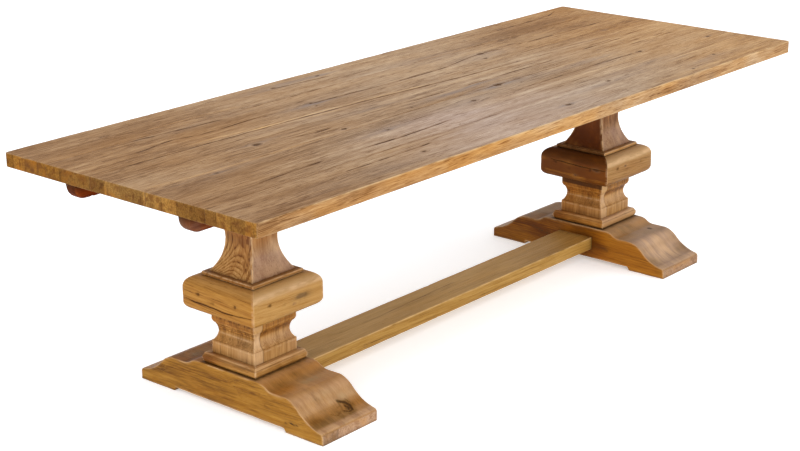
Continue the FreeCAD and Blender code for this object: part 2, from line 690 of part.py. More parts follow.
blocks = []
for sx in (-1, 1):
    for ky in (-1, 1):
        tag = "stop_block_%s_%s" % ("l" if sx < 0 else "r", "f" if ky < 0 else "b")
        b = doc.addObject("Part::Box", tag)
        low_x = S["block_inner"] if sx > 0 else -S["block_outer"]
        b.Placement = Placement(Vector(low_x.value, S["runner_y"].value * ky - S["runner_wide"].value / 2,
                                       S["stop_block_low"].value), Rotation())
        bind(b, "Placement.Base.x", low_x)
        bind(b, "Placement.Base.y", S["runner_y"] * ky - S["runner_wide"] / 2)
        bind(b, "Placement.Base.z", S["stop_block_low"])
        bind(b, "Length", S["block_outer"] - S["block_inner"])
        bind(b, "Width", S["runner_wide"])
        bind(b, "Height", S["top_under"] - S["stop_block_low"])
        mx = (S["block_inner"] + S["block_outer"]) / 2 * sx
        hole = cylinder(tag + "_hole", mx, S["runner_y"] * ky, S["stop_block_low"] - 5, S["screw_bore_r"], 60)
        sink = cylinder(tag + "_sink", mx, S["runner_y"] * ky, S["stop_block_low"] - 5, S["screw_sink_r"],
                        S["screw_seat"] - S["stop_block_low"] + 5)
        tool = doc.addObject("Part::MultiFuse", tag + "_tool")
        tool.Shapes = [hole, sink]
        cut = doc.addObject("Part::Cut", tag + "_bored")
        cut.Base = b
        cut.Tool = tool
        blocks.append(cut)
compound("runner_stop_blocks", blocks)

# ------------------------------------------------------------------ fixings
nuts, washers = [], []
for sx in (-1, 1):
    px = S["pedestal_x"] * sx
    for tag, wz, nz in (("foot", S["sink_foot"] - S["washer_thick"], S["sink_foot"] - S["washer_thick"] - S["nut_thick"]),
                        ("bearer", S["sink_bearer"], S["sink_bearer"] + S["washer_thick"])):
        name = "%s_%s" % ("left" if sx < 0 else "right", tag)
        disc = cylinder(name + "_washer_disc", px, 0, wz, S["washer_r"], S["washer_thick"])
        eye = cylinder(name + "_washer_eye", px, 0, wz - 1, S["washer_bore_r"], S["washer_thick"] + 2)
        cut = doc.addObject("Part::Cut", name + "_washer")
        cut.Base, cut.Tool = disc, eye
        washers.append(cut)
        hexa = doc.addObject("Part::Prism", name + "_nut_hex")
        hexa.Polygon = 6
        bind(hexa, "Circumradius", S["nut_across"])
        bind(hexa, "Height", S["nut_thick"])
        hexa.Placement = Placement(Vector(px.value, 0, size_of(nz).value), Rotation())
        bind(hexa, "Placement.Base.x", px)
        bind(hexa, "Placement.Base.z", nz)
        eye = cylinder(name + "_nut_eye", px, 0, nz - 1, S["nut_bore_r"], S["nut_thick"] + 2)
        cut = doc.addObject("Part::Cut", name + "_nut")
        cut.Base, cut.Tool = hexa, eye
        nuts.append(cut)
compound("tie_nuts", nuts)
compound("tie_washers", washers)

dowels = []
for sx in (-1, 1):
    for k, z in enumerate(DOWEL_Z):
        for ky in (-1, 1):
            dowels.append(cylinder("dowel_%s%d%s" % ("l" if sx < 0 else "r", k, "f" if ky < 0 else "b"),
                                   S["pedestal_x"] * sx, S["dowel_spread"] * ky, z, S["dowel_r"], S["dowel_long"]))
compound("locating_dowels", dowels)

pegs = []
for sx in (-1, 1):
    for ky in (-1, 1):
        pegs.append(cylinder("draw_peg_%s%s" % ("l" if sx < 0 else "r", "f" if ky < 0 else "b"),
                             (S["pedestal_x"] - S["foot_wide"] / 2 + S["peg_inset"]) * sx, S["peg_spread"] * ky,
                             S["relief_high"] + 2, S["peg_r"], 86))
compound("stretcher_pegs", pegs)

nails = []
for sx in (-1, 1):
    for place, turn in TURNS:
        a = math.radians(turn)
        ca, sa = round(math.cos(a)), round(math.sin(a))
        outer = S["block_half"] - S["nail_sunk"]
        for k, (y, z) in enumerate(NAIL_YZ):
            # head end of the nail, turned to its own side of the block
            nx = S["pedestal_x"] * sx + outer * ca - y * sa
            ny = outer * sa + size_of(y * ca)
            axis = Vector(-ca, -sa, 0)
            rot = Rotation(Vector(0, 0, 1), axis)
            n = cylinder("nail_%s_%s_%d" % ("l" if sx < 0 else "r", place, k), nx, ny, z, S["nail_r"], S["nail_long"],
                         tilt=(rot.Axis, math.degrees(rot.Angle)))
            nails.append(n)
compound("block_nails", nails)

screws = []
spots = [(x, size_of(y)) for x, y in SCREW_SPOTS]
for sx in (-1, 1):
    for ky in (-1, 1):
        spots.append(((S["block_inner"] + S["block_outer"]) / 2 * sx, S["runner_y"] * ky))
for k, (x, y) in enumerate(spots):
    head = cylinder("screw_head_%d" % k, x, y, S["screw_seat"] - S["screw_head_high"], S["screw_head_r"],
                    S["screw_head_high"])
    shank = cylinder("screw_shank_%d" % k, x, y, S["screw_seat"] - 1, S["screw_r"], S["screw_long"] + 1)
    whole = doc.addObject("Part::MultiFuse", "screw_%d" % k)
    whole.Shapes = [head, shank]
    screws.append(whole)
compound("top_screws", screws)

# ------------------------------------------------------------------ check and write
doc.recompute()
faults = []
for o in doc.Objects:
    if "Invalid" in o.State or "Error" in o.State:
        faults.append("%s: %s" % (o.Name, o.State))
    if o.TypeId == "Sketcher::SketchObject" and o.solve() != 0:
        faults.append("%s: sketch not solved" % o.Name)
for n in nodes:
    shape = n.Shape
    if shape.isNull() or not shape.isValid() or shape.Volume <= 0 or not shape.Solids:
        faults.append("%s: bad shape" % n.Label)
if faults:
    raise RuntimeError("; ".join(faults))

os.makedirs("parts", exist_ok=True)
for old in os.listdir("parts"):
    if old.endswith(".step") and old[:-5] not in [n.Label for n in nodes]:
        os.remove(os.path.join("parts", old))
whole = None
for n in nodes:
    n.Shape.exportStep(os.path.join("parts", n.Label + ".step"))
    b = n.Shape.BoundBox
    whole = b if whole is None else whole.united(b)
    print("%-30s %2d solids %9.1f cm3  x %8.1f %8.1f  y %7.1f %7.1f  z %6.1f %6.1f" % (
        n.Label, len(n.Shape.Solids), n.Shape.Volume / 1000.0, b.XMin, b.XMax, b.YMin, b.YMax, b.ZMin, b.ZMax))
print("%d nodes; box %.1f x %.1f x %.1f, z from %.1f" % (
    len(nodes), whole.XLength, whole.YLength, whole.ZLength, whole.ZMin))
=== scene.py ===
import math

import bpy
import numpy as np
from mathutils import Matrix


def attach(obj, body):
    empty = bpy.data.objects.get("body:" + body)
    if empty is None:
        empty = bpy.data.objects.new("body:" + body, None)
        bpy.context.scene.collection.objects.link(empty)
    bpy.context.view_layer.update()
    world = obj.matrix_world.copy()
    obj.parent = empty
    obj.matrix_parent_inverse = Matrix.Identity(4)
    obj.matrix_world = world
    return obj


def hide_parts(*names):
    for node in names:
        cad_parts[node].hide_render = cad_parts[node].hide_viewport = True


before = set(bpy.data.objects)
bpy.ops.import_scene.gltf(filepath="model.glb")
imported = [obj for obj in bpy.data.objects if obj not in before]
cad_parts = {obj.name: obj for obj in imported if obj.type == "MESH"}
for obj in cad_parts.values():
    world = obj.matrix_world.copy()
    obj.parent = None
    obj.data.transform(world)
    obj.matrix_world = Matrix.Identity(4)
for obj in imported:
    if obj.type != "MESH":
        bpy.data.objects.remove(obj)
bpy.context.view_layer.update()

# Trestle dining table. Shapes are worked out in millimetres and written in metres.
# Left is -X, front is -Y.
PED = 880.0


# ---------------------------------------------------------------- noise
def hashed(ix, iy, iz, seed):
    h = (ix * 374761393 + iy * 668265263 + iz * 1440662683 + seed * 974126177) & 0xFFFFFFFF
    h = ((h ^ (h >> 13)) * 1274126177) & 0xFFFFFFFF
    h = h ^ (h >> 16)
    return (h & 0xFFFFFF) / float(0xFFFFFF)


def noise(p, seed=0):
    """Smooth value noise from 0 to 1 over points of shape (n, 3)."""
    i = np.floor(p).astype(np.int64)
    f = p - i
    f = f * f * f * (f * (f * 6 - 15) + 10)
    total = 0.0
    for dx in (0, 1):
        wx = f[:, 0] if dx else 1 - f[:, 0]
        for dy in (0, 1):
            wy = f[:, 1] if dy else 1 - f[:, 1]
            for dz in (0, 1):
                wz = f[:, 2] if dz else 1 - f[:, 2]
                total = total + wx * wy * wz * hashed(i[:, 0] + dx, i[:, 1] + dy, i[:, 2] + dz, seed)
    return total


def fbm(p, octaves=3, seed=0):
    total, amp, norm = 0.0, 1.0, 0.0
    for k in range(octaves):
        total = total + amp * noise(p * (2.0 ** k) + 17.3 * k, seed + 31 * k)
        norm += amp
        amp *= 0.5
    return total / norm


def line_noise(x, seed=0):
    z = np.zeros_like(x)
    return noise(np.stack([x, z + 0.5, z + 0.5], 1), seed)


def smooth(x, a, b):
    t = np.clip((x - a) / (b - a), 0, 1)
    return t * t * (3 - 2 * t)


# ---------------------------------------------------------------- meshes
EDGE = (0.6, 1.4, 2.5, 4.0, 6.2, 9.0)
FINE = (0.5, 1.1, 2.4)


def run(lo, hi, step, low=EDGE, high=EDGE, also=()):
    """Coordinates from lo to hi, about step apart, closer together at the ends."""
    a = [lo] + [lo + e for e in low]
    b = [hi - e for e in reversed(high)] + [hi]
    n = max(2, int(round((b[0] - a[-1]) / step)))
    mid = list(np.linspace(a[-1], b[0], n + 1)[1:-1])
    every = sorted(a + mid + b + [v for v in also if lo < v < hi])
    kept = [every[0]]
    fixed = set(round(v, 6) for v in list(also) + a + b)
    for v in every[1:]:
        if v - kept[-1] < 0.045:
            continue
        if v - kept[-1] < step * 0.3 and round(v, 6) not in fixed:
            continue
        kept.append(v)
    kept[-1] = hi
    return np.array(kept)


def lattice(nx, ny, nz):
    """Surface of a block of cells: index triples of its points, and outward quads."""
    mask = np.zeros((nx, ny, nz), bool)
    mask[0], mask[-1] = True, True
    mask[:, 0], mask[:, -1] = True, True
    mask[:, :, 0], mask[:, :, -1] = True, True
    ids = -np.ones((nx, ny, nz), np.int64)
    ids[mask] = np.arange(mask.sum())
    quads = []

    def face(a, flip):
        q = np.stack([a[:-1, :-1], a[1:, :-1], a[1:, 1:], a[:-1, 1:]], -1).reshape(-1, 4)
        quads.append(q[:, ::-1] if flip else q)

    face(ids[:, :, -1], False)
    face(ids[:, :, 0], True)
    face(ids[-1], False)
    face(ids[0], True)
    face(ids[:, -1], True)
    face(ids[:, 0], False)
    return np.argwhere(mask), np.concatenate(quads)


def vertex_normals(p, faces):
    n = np.cross(p[faces[:, 2]] - p[faces[:, 0]], p[faces[:, 3]] - p[faces[:, 1]])
    out = np.zeros_like(p)
    for k in range(4):
        for c in range(3):
            out[:, c] += np.bincount(faces[:, k], weights=n[:, c], minlength=len(p))
    return out / np.maximum(np.linalg.norm(out, axis=1, keepdims=True), 1e-12)


def pull_round(a, b, r):
    """Turns a square corner into a round one. a and b are how far a point is inside the
    corner's square of side r, 0 to r; what comes back are the same two after rounding."""
    a, b = np.clip(a, 0, None), np.clip(b, 0, None)
    length = np.hypot(a, b)
    k = np.where(length > 1e-9, np.maximum(a, b) / np.maximum(length, 1e-9), 1.0)
    both = (a > 0) & (b > 0)
    k = np.where(both, k, 1.0)
    return a * k, b * k


def make(name, p, faces, marks, body, material, replaces=None, sharp=38.0):
    """p in millimetres, in the table's own frame. marks: attribute name to array."""
    mesh = bpy.data.meshes.new(name)
    n, m = len(p), len(faces)
    mesh.vertices.add(n)
    mesh.vertices.foreach_set("co", (p * 0.001).astype(np.float32).ravel())
    mesh.loops.add(4 * m)
    mesh.loops.foreach_set("vertex_index", faces.astype(np.int32).ravel())
    mesh.polygons.add(m)
    mesh.polygons.foreach_set("loop_start", np.arange(m, dtype=np.int32) * 4)
    mesh.update(calc_edges=True)
    mesh.validate()
    mesh.polygons.foreach_set("use_smooth", np.ones(len(mesh.polygons), bool))
    mesh.set_sharp_from_angle(angle=math.radians(sharp))
    for key, values in marks.items():
        made = mesh.attributes.new(key, "FLOAT_VECTOR", "POINT")
        made.data.foreach_set("vector", values.astype(np.float32).ravel())
    mesh.materials.append(material)
    obj = bpy.data.objects.new(name, mesh)
    bpy.context.scene.collection.objects.link(obj)
    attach(obj, body)
    if replaces:
        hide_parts(replaces)
    return obj


def roughen(p, faces, amount, size, seed, hold=None):
    """Moves points inwards only, so that nothing grows past its own outline."""
    n = vertex_normals(p, faces)
    d = amount * fbm(p / size, 3, seed)
    if hold is not None:
        d = d * hold
    return p - n * d[:, None], n


def grained(along, t, r, pith, seed, slope=(0.0, 0.0), wander=0.006):
    """Position in the tree, in metres: along the trunk, then across it from the pith."""
    rng = np.random.default_rng(seed)
    start = rng.uniform(-3, 3)
    w = along / 1000.0
    sway = (line_noise(w * 1.3 + start + 50, seed) - 0.5) * 2 * wander
    sway2 = (line_noise(w * 1.1 + start + 90, seed + 5) - 0.5) * 2 * wander
    tt = (t - pith[0]) / 1000.0 + slope[0] * w + sway
    rr = (r - pith[1]) / 1000.0 + slope[1] * w + sway2
    return np.stack([w + start, tt, rr], 1)


def packed(grime_and_shade, wear_and_sheen, veil_and_sheen):
    return np.stack([np.clip(grime_and_shade, 0, 1), np.clip(wear_and_sheen, 0, 1), np.clip(veil_and_sheen, 0, 1)], 1)


def toned(count, value=0.0, warm=0.0, rings=0.0):
    return np.tile(np.array([value, warm, rings]), (count, 1))


# ---------------------------------------------------------------- node materials
class Tree:
    """A small hand for writing node trees."""

    def __init__(self, name):
        self.mat = bpy.data.materials.new(name)
        self.mat.use_nodes = True
        self.nt = self.mat.node_tree
        self.nt.nodes.clear()

    def put(self, socket, value):
        if isinstance(value, bpy.types.NodeSocket):
            self.nt.links.new(value, socket)
        elif value is not None:
            socket.default_value = value

    def math(self, op, a, b=None, c=None, clamp=False):
        n = self.nt.nodes.new("ShaderNodeMath")
        n.operation = op
        n.use_clamp = clamp
        for k, v in enumerate((a, b, c)):
            self.put(n.inputs[k], v)
        return n.outputs[0]

    def vec(self, op, a, b=None):
        n = self.nt.nodes.new("ShaderNodeVectorMath")
        n.operation = op
        self.put(n.inputs[0], a)
        if b is not None:
            self.put(n.inputs[3 if op == "SCALE" else 1], b)
        return n.outputs["Value"] if op in ("LENGTH", "DOT_PRODUCT", "DISTANCE") else n.outputs["Vector"]

    def mix(self, fac, a, b, mode="MIX"):
        n = self.nt.nodes.new("ShaderNodeMix")
        n.data_type = "RGBA"
        n.blend_type = mode
        n.clamp_factor = True
        self.put(n.inputs[0], fac)
        self.put(n.inputs[6], rgba(a))
        self.put(n.inputs[7], rgba(b))
        return n.outputs[2]

    def noise(self, p, scale, detail=2.0, rough=0.5, colour=False):
        n = self.nt.nodes.new("ShaderNodeTexNoise")
        n.noise_dimensions = "3D"
        self.put(n.inputs["Vector"], self.vec("MULTIPLY", p, scale))
        n.inputs["Scale"].default_value = 1.0
        n.inputs["Detail"].default_value = detail
        n.inputs["Roughness"].default_value = rough
        return n.outputs["Color"] if colour else n.outputs[0]

    def span(self, v, a, b, c=0.0, d=1.0, kind="SMOOTHSTEP"):
        n = self.nt.nodes.new("ShaderNodeMapRange")
        n.interpolation_type = kind
        n.clamp = True
        self.put(n.inputs["Value"], v)
        for key, value in (("From Min", a), ("From Max", b), ("To Min", c), ("To Max", d)):
            n.inputs[key].default_value = value
        return n.outputs[0]

    def ramp(self, fac, stops, kind="LINEAR"):
        n = self.nt.nodes.new("ShaderNodeValToRGB")
        n.color_ramp.interpolation = kind
        e = n.color_ramp.elements
        while len(e) < len(stops):
            e.new(0.5)
        for k, (pos, col) in enumerate(stops):
            e[k].position = pos
            e[k].color = rgba(col) if not isinstance(col, (int, float)) else (col, col, col, 1)
        self.put(n.inputs[0], fac)
        return n.outputs[0]

    def attribute(self, name):
        n = self.nt.nodes.new("ShaderNodeAttribute")
        n.attribute_type = "GEOMETRY"
        n.attribute_name = name
        return n.outputs["Vector"]

    def split(self, v):
        n = self.nt.nodes.new("ShaderNodeSeparateXYZ")
        self.put(n.inputs[0], v)
        return n.outputs[0], n.outputs[1], n.outputs[2]

    def curve(self, colour, pivot, power, cap):
        """Bends each channel so that pivot stays as it is: darker tones get more saturated.
        With cap the tones lighter than pivot stay as they are too."""
        out = []
        for v, c, k in zip(self.split(colour), pivot, power):
            bent = self.math("MULTIPLY", self.math("POWER", self.math("MAXIMUM", v, 0.0), k), c ** (1 - k))
            out.append(self.math("MINIMUM", bent, v) if cap else bent)
        return self.join(*out)

    def join(self, x, y, z):
        n = self.nt.nodes.new("ShaderNodeCombineXYZ")
        for k, v in enumerate((x, y, z)):
            self.put(n.inputs[k], v)
        return n.outputs[0]

    def finish(self, colour, rough, height=None, strength=0.4, distance=0.0006, **fixed):
        s = self.nt.nodes.new("ShaderNodeBsdfPrincipled")
        self.put(s.inputs["Base Color"], colour)
        self.put(s.inputs["Roughness"], rough)
        for key, value in fixed.items():
            s.inputs[key.replace("_", " ")].default_value = value
        if height is not None:
            b = self.nt.nodes.new("ShaderNodeBump")
            b.inputs["Strength"].default_value = strength
            b.inputs["Distance"].default_value = distance
            self.put(b.inputs["Height"], height)
            self.nt.links.new(b.outputs[0], s.inputs["Normal"])
        out = self.nt.nodes.new("ShaderNodeOutputMaterial")
        self.nt.links.new(s.outputs[0], out.inputs[0])
        return self.mat


def rgba(c):
    if isinstance(c, (tuple, list)) and len(c) == 3:
        return (c[0], c[1], c[2], 1.0)
    return c


def wood(name, light, mid, dark, ring=7.0, rings=0.5, streak=1.0, grey=0.0, grey_to=(0.36, 0.27, 0.20),
         end_to=(0.33, 0.17, 0.05), wear_and_sheen_to=(0.62, 0.42, 0.22), rough=0.5, base=0.30, axis=None, relief=0.5,
         specular=0.3, lines=0.30, drift=(0.30, 0.12, 0.035), grime_and_shade_to=(0.060, 0.028, 0.012), uneven_by=5.0,
         broken=(0.20, 0.15), crack_near=(0.130, 0.062, 0.026), crack_to=(0.048, 0.022, 0.009),
         smudge=(0.205, 0.165, 0.130), fine=1.0, calm=1.0, cloudy=(0.45, 1.0),
         gain=(1.0, 1.0, 1.0), pivot=(0.36, 0.20, 0.08), rich=(1.0, 1.0, 1.0), short=1.0, cap=True):
    """Flat-sawn hardwood. The rings, fibres and pores are cut out of one solid pattern, so the
    faces and the end grain of a board belong together. axis: for a part without its own marks,
    which of x, y, z runs along the trunk."""
    t = Tree(name)
    if axis is None:
        p = t.attribute("gp")
        knot, crack, halo = t.split(t.attribute("mk"))
        grime_and_shade, wear_and_sheen, veil_and_sheen = t.split(t.attribute("sf"))
        tone, warm, more = t.split(t.attribute("tn"))
        eg = t.split(t.attribute("eg"))[0]
    else:
        c = t.nt.nodes.new("ShaderNodeTexCoord")
        x, y, z = t.split(c.outputs["Object"])
        order = {"x": (x, y, z), "y": (y, x, z), "z": (z, x, y)}[axis]
        p = t.vec("ADD", t.join(*order), (0.37, 0.031, 0.058))
        knot = crack = halo = wear_and_sheen = veil_and_sheen = tone = warm = more = grime_and_shade = None
        g = t.nt.nodes.new("ShaderNodeNewGeometry")
        nx, ny, nz = t.split(g.outputs["True Normal"])
        eg = t.span(t.math("ABSOLUTE", {"x": nx, "y": ny, "z": nz}[axis]), 0.6, 0.9)
    # slow wander of the fibres
    w1 = t.vec("SUBTRACT", t.noise(p, (1.4, 7, 7), 2, 0.5, True), (0.5, 0.5, 0.5))
    w2 = t.vec("SUBTRACT", t.noise(p, (11, 45, 45), 2, 0.55, True), (0.5, 0.5, 0.5))
    q = t.vec("ADD", p, t.vec("MULTIPLY", w1, (0.0, 0.020, 0.020)))
    q = t.vec("ADD", q, t.vec("MULTIPLY", w2, (0.0, 0.0030, 0.0030)))
    d = t.vec("LENGTH", t.vec("MULTIPLY", q, (0.0, 1.0, 1.0)))
    uneven = t.noise(q, (0.30, 15, 15), 3)
    phase = t.math("ADD", t.math("MULTIPLY", d, 1000.0 / ring), t.math("MULTIPLY", uneven, uneven_by))
    f = t.math("FRACT", phase)
    rg = t.ramp(f, [(0.0, 0.95), (0.10, 0.62), (0.30, 0.26), (0.62, 0.05), (0.86, 0.22), (0.97, 0.9), (1.0, 0.95)])
    rgv = t.math("MULTIPLY", rg, t.span(t.noise(p, (1.0, 20, 20), 3), 0.32, 0.64, broken[0], 1.0))
    rgv = t.math("MULTIPLY", rgv, t.span(t.noise(q, (1.6, 130, 130), 2), 0.34, 0.62, broken[1], 1.0))
    broad = t.math("SUBTRACT", t.noise(q, (0.8, 17, 17), 3, 0.55), 0.5)
    streaks = t.math("SUBTRACT", t.noise(q, (1.3 * short, 62, 62), 3, 0.6), 0.5)
    mids = t.math("SUBTRACT", t.noise(q, (3.2 * short, 215, 215), 3, 0.62), 0.5)
    fibre = t.math("SUBTRACT", t.noise(q, (10 * short, 700, 700), 2, 0.6), 0.5)
    pore = t.span(t.noise(q, (22, 900, 900), 2, 0.5), 0.60, 0.74)
    pore = t.math("MULTIPLY", pore, t.math("ADD", t.math("MULTIPLY", rg, 0.75), 0.25))
    dash = t.span(t.noise(q, (5.0, 230, 230), 3, 0.6), 0.62, 0.72)
    nick = t.span(t.noise(q, (15, 300, 300), 2, 0.5), 0.60, 0.69)
    thin = t.span(t.math("ABSOLUTE", t.math("SUBTRACT", t.noise(q, (1.0, 95, 95), 2, 0.5), 0.5)), 0.020, 0.004)
    thin = t.math("MULTIPLY", thin, t.span(t.noise(p, (2.4, 26, 26), 2), 0.50, 0.60))
    blotch = t.noise(p, (2.6, 7, 7), 3, 0.6)
    total = t.math("MULTIPLY_ADD", rgv, rings, base)
    if more is not None:
        total = t.math("ADD", total, t.math("MULTIPLY", rgv, more))
        total = t.math("ADD", total, tone)
    plain = total
    for part, k in ((broad, 0.85 * streak), (streaks, 1.15 * streak), (mids, 1.05 * streak), (fibre, 0.42 * fine),
                    (pore, 0.20 * fine), (dash, 0.34 * fine), (nick, 0.26 * (fine - 0.8)), (thin, lines)):
        total = t.math("MULTIPLY_ADD", part, k, total)
    colour = t.ramp(total, [(0.0, light), (0.45, mid), (1.0, dark)])
    # redder and paler drifts over whole areas
    colour = t.mix(t.span(blotch, 0.46, 0.70, 0.0, 0.34), colour, drift)
    colour = t.mix(t.span(blotch, 0.46, 0.28, 0.0, 0.30), colour, light)
    # sawn ends: speckled, blotched, with the rings and fine upright lines
    speck = t.noise(p, (60, 210, 210), 3, 0.65)
    upright = t.math("SUBTRACT", t.noise(p, (30, 330, 16), 3, 0.6), 0.5)
    blot = t.span(t.noise(p, (20, 44, 48), 3, 0.62), 0.53, 0.64)
    rosy = t.span(t.noise(p, (20, 17, 24), 2, 0.5), 0.50, 0.66, 0.0, 0.7)
    ends = t.mix(t.span(speck, 0.42, 0.60, 0.0, 0.72), tuple(v * 1.08 for v in end_to), tuple(v * 0.52 for v in end_to))
    ends = t.mix(rosy, ends, (end_to[0] * 1.12, end_to[1] * 0.92, end_to[2] * 0.62))
    ends = t.mix(t.math("MULTIPLY", rgv, 0.55), ends, tuple(v * 0.42 for v in end_to))
    ends = t.mix(t.math("MULTIPLY", blot, 0.66), ends, (end_to[0] * 0.40, end_to[1] * 0.30, end_to[2] * 0.30))
    ends = t.mix(t.span(upright, 0.04, 0.16, 0.0, 0.5), ends, tuple(v * 0.5 for v in end_to))
    if tone is not None:
        ends = t.mix(t.math("MULTIPLY", warm, -1.0, clamp=True), ends, (0.94, 1.10, 1.85), "MULTIPLY")
        ends = t.vec("SCALE", ends, t.math("MAXIMUM", t.math("MULTIPLY_ADD", tone, -1.7, 1.0), 0.3))
        ends = t.mix(t.math("MULTIPLY", halo, 1.0, clamp=True), ends, (0.115, 0.045, 0.012))
    colour = t.mix(t.math("MULTIPLY", eg, 0.96), colour, ends)
    if veil_and_sheen is not None:
        # where the veil mark asks for it, mostly on upward faces, the colour turns towards a paler grey: partly
        # weathered greying, partly painted sheen; it also calms the streaks
        cloud = t.span(t.noise(p, (1.7, 9, 9), 3, 0.55), 0.30, 0.70, cloudy[0], cloudy[1])
        veil = t.math("MULTIPLY", t.math("MULTIPLY", veil_and_sheen, cloud), grey)
        shade = t.math("MULTIPLY_ADD", plain, -1.10, 1.42)
        shade = t.math("MULTIPLY_ADD", t.math("SUBTRACT", total, plain), -1.10 * calm, shade)
        shade = t.math("MAXIMUM", shade, 0.15)
        colour = t.mix(veil, colour, t.vec("SCALE", t.join(*grey_to), shade))
        flat = t.math("SUBTRACT", 1.0, eg)
        colour = t.mix(t.math("MULTIPLY", warm, flat, clamp=True), colour, (1.14, 0.90, 0.55), "MULTIPLY")
        colour = t.mix(t.math("MULTIPLY", t.math("MULTIPLY", warm, -1.0), flat, clamp=True), colour, (0.88, 0.92, 1.20),
                       "MULTIPLY")
        colour = t.vec("MULTIPLY", colour, gain)
        hz = t.math("MULTIPLY", halo, t.span(streaks, -0.14, 0.12, 0.35, 1.0), clamp=True)
        hz = t.math("MULTIPLY", hz, t.math("SUBTRACT", 1.0, eg))
        colour = t.mix(hz, colour, smudge)
        # knots: a dark bark ring, a brown heart with its own small rings
        kr = t.math("SUBTRACT", t.noise(p, (90, 190, 190), 3, 0.6), 0.5)
        kr = t.math("MULTIPLY_ADD", t.math("MULTIPLY", kr, t.span(knot, 0.02, 0.30)), 0.85, knot)
        heart = t.span(kr, 0.58, 0.74)
        bark = t.math("MULTIPLY", t.span(kr, 0.48, 0.60), t.span(kr, 0.86, 0.68))
        small = t.math("SINE", t.math("MULTIPLY", kr, 60.0))
        near = t.span(kr, 0.10, 0.55, 0.0, 0.45)
        colour = t.mix(near, colour, (0.165, 0.092, 0.048))
        colour = t.mix(t.math("MULTIPLY", heart, 0.85), colour, (0.080, 0.038, 0.017))
        colour = t.mix(t.math("MULTIPLY", heart, t.span(small, -0.2, 0.9, 0.0, 0.30)), colour, (0.16, 0.085, 0.036))
        colour = t.mix(t.math("MULTIPLY", bark, 0.70), colour, (0.045, 0.024, 0.013))
        # cracks and the grime beside them
        soft = t.math("MULTIPLY_ADD", t.math("SUBTRACT", t.noise(p, (30, 500, 500), 2), 0.5), 0.35, crack)
        colour = t.mix(t.span(soft, 0.18, 0.76, 0.0, 0.62), colour, crack_near)
        colour = t.mix(t.span(soft, 0.52, 0.90, 0.0, 0.94), colour, crack_to)
        # worn arrises and painted highlights, then grime and painted shade in the corners and where parts meet
        wear_and_sheen_amount = t.math("MULTIPLY", wear_and_sheen, t.span(t.noise(p, (14, 60, 60), 3, 0.6), 0.34, 0.62, 0.05, 0.80))
        colour = t.mix(wear_and_sheen_amount, colour, wear_and_sheen_to)
        grime_and_shade_amount = t.math("MULTIPLY", grime_and_shade, t.span(t.noise(p, (22, 90, 90), 3, 0.6), 0.25, 0.6, 0.55, 1.0))
        colour = t.mix(grime_and_shade_amount, colour, grime_and_shade_to)
        colour = t.curve(colour, pivot, rich, cap)
    r = t.math("MULTIPLY_ADD", fibre, 0.30, rough)
    r = t.math("MULTIPLY_ADD", rgv, 0.08, r)
    r = t.math("MULTIPLY_ADD", t.math("SUBTRACT", blotch, 0.5), 0.26, r)
    if grime_and_shade is not None:
        r = t.math("MULTIPLY_ADD", grime_and_shade, 0.20, r)
        r = t.math("MULTIPLY_ADD", wear_and_sheen, -0.06, r)
    r = t.math("MULTIPLY_ADD", eg, 0.16, r, clamp=True)
    h = t.math("MULTIPLY_ADD", rgv, -0.55, t.math("MULTIPLY", fibre, 0.55))
    h = t.math("MULTIPLY_ADD", pore, -0.9, h)
    h = t.math("MULTIPLY_ADD", dash, -0.9, h)
    h = t.math("MULTIPLY_ADD", thin, -0.8, h)
    h = t.math("MULTIPLY_ADD", broad, 0.6, h)
    if crack is not None:
        h = t.math("MULTIPLY_ADD", t.span(crack, 0.75, 0.98), -2.0, h)
        h = t.math("MULTIPLY_ADD", heart, -0.8, h)
    return t.finish(colour, r, h, strength=relief, distance=0.0007, IOR=1.46, Specular_IOR_Level=specular)


def steel(name, tint=(0.30, 0.295, 0.29)):
    t = Tree(name)
    c = t.nt.nodes.new("ShaderNodeTexCoord")
    p = c.outputs["Object"]
    a = t.noise(p, (140, 140, 140), 3, 0.6)
    b = t.noise(p, (900, 900, 60), 2, 0.5)
    rust = t.span(t.noise(p, (60, 60, 60), 4, 0.65), 0.55, 0.72, 0.0, 0.7)
    colour = t.mix(t.span(a, 0.3, 0.7), tint, tuple(v * 0.72 for v in tint))
    colour = t.mix(rust, colour, (0.16, 0.075, 0.035))
    r = t.math("MULTIPLY_ADD", b, 0.20, 0.32)
    r = t.math("MULTIPLY_ADD", rust, 0.3, r, clamp=True)
    metal = t.math("SUBTRACT", 1.0, t.math("MULTIPLY", rust, 0.8))
    h = t.math("MULTIPLY_ADD", rust, 0.8, t.math("MULTIPLY", b, 0.4))
    m = t.finish(colour, r, h, strength=0.3, distance=0.0003)
    s = [n for n in m.node_tree.nodes if n.type == "BSDF_PRINCIPLED"][0]
    m.node_tree.links.new(metal, s.inputs["Metallic"])
    return m


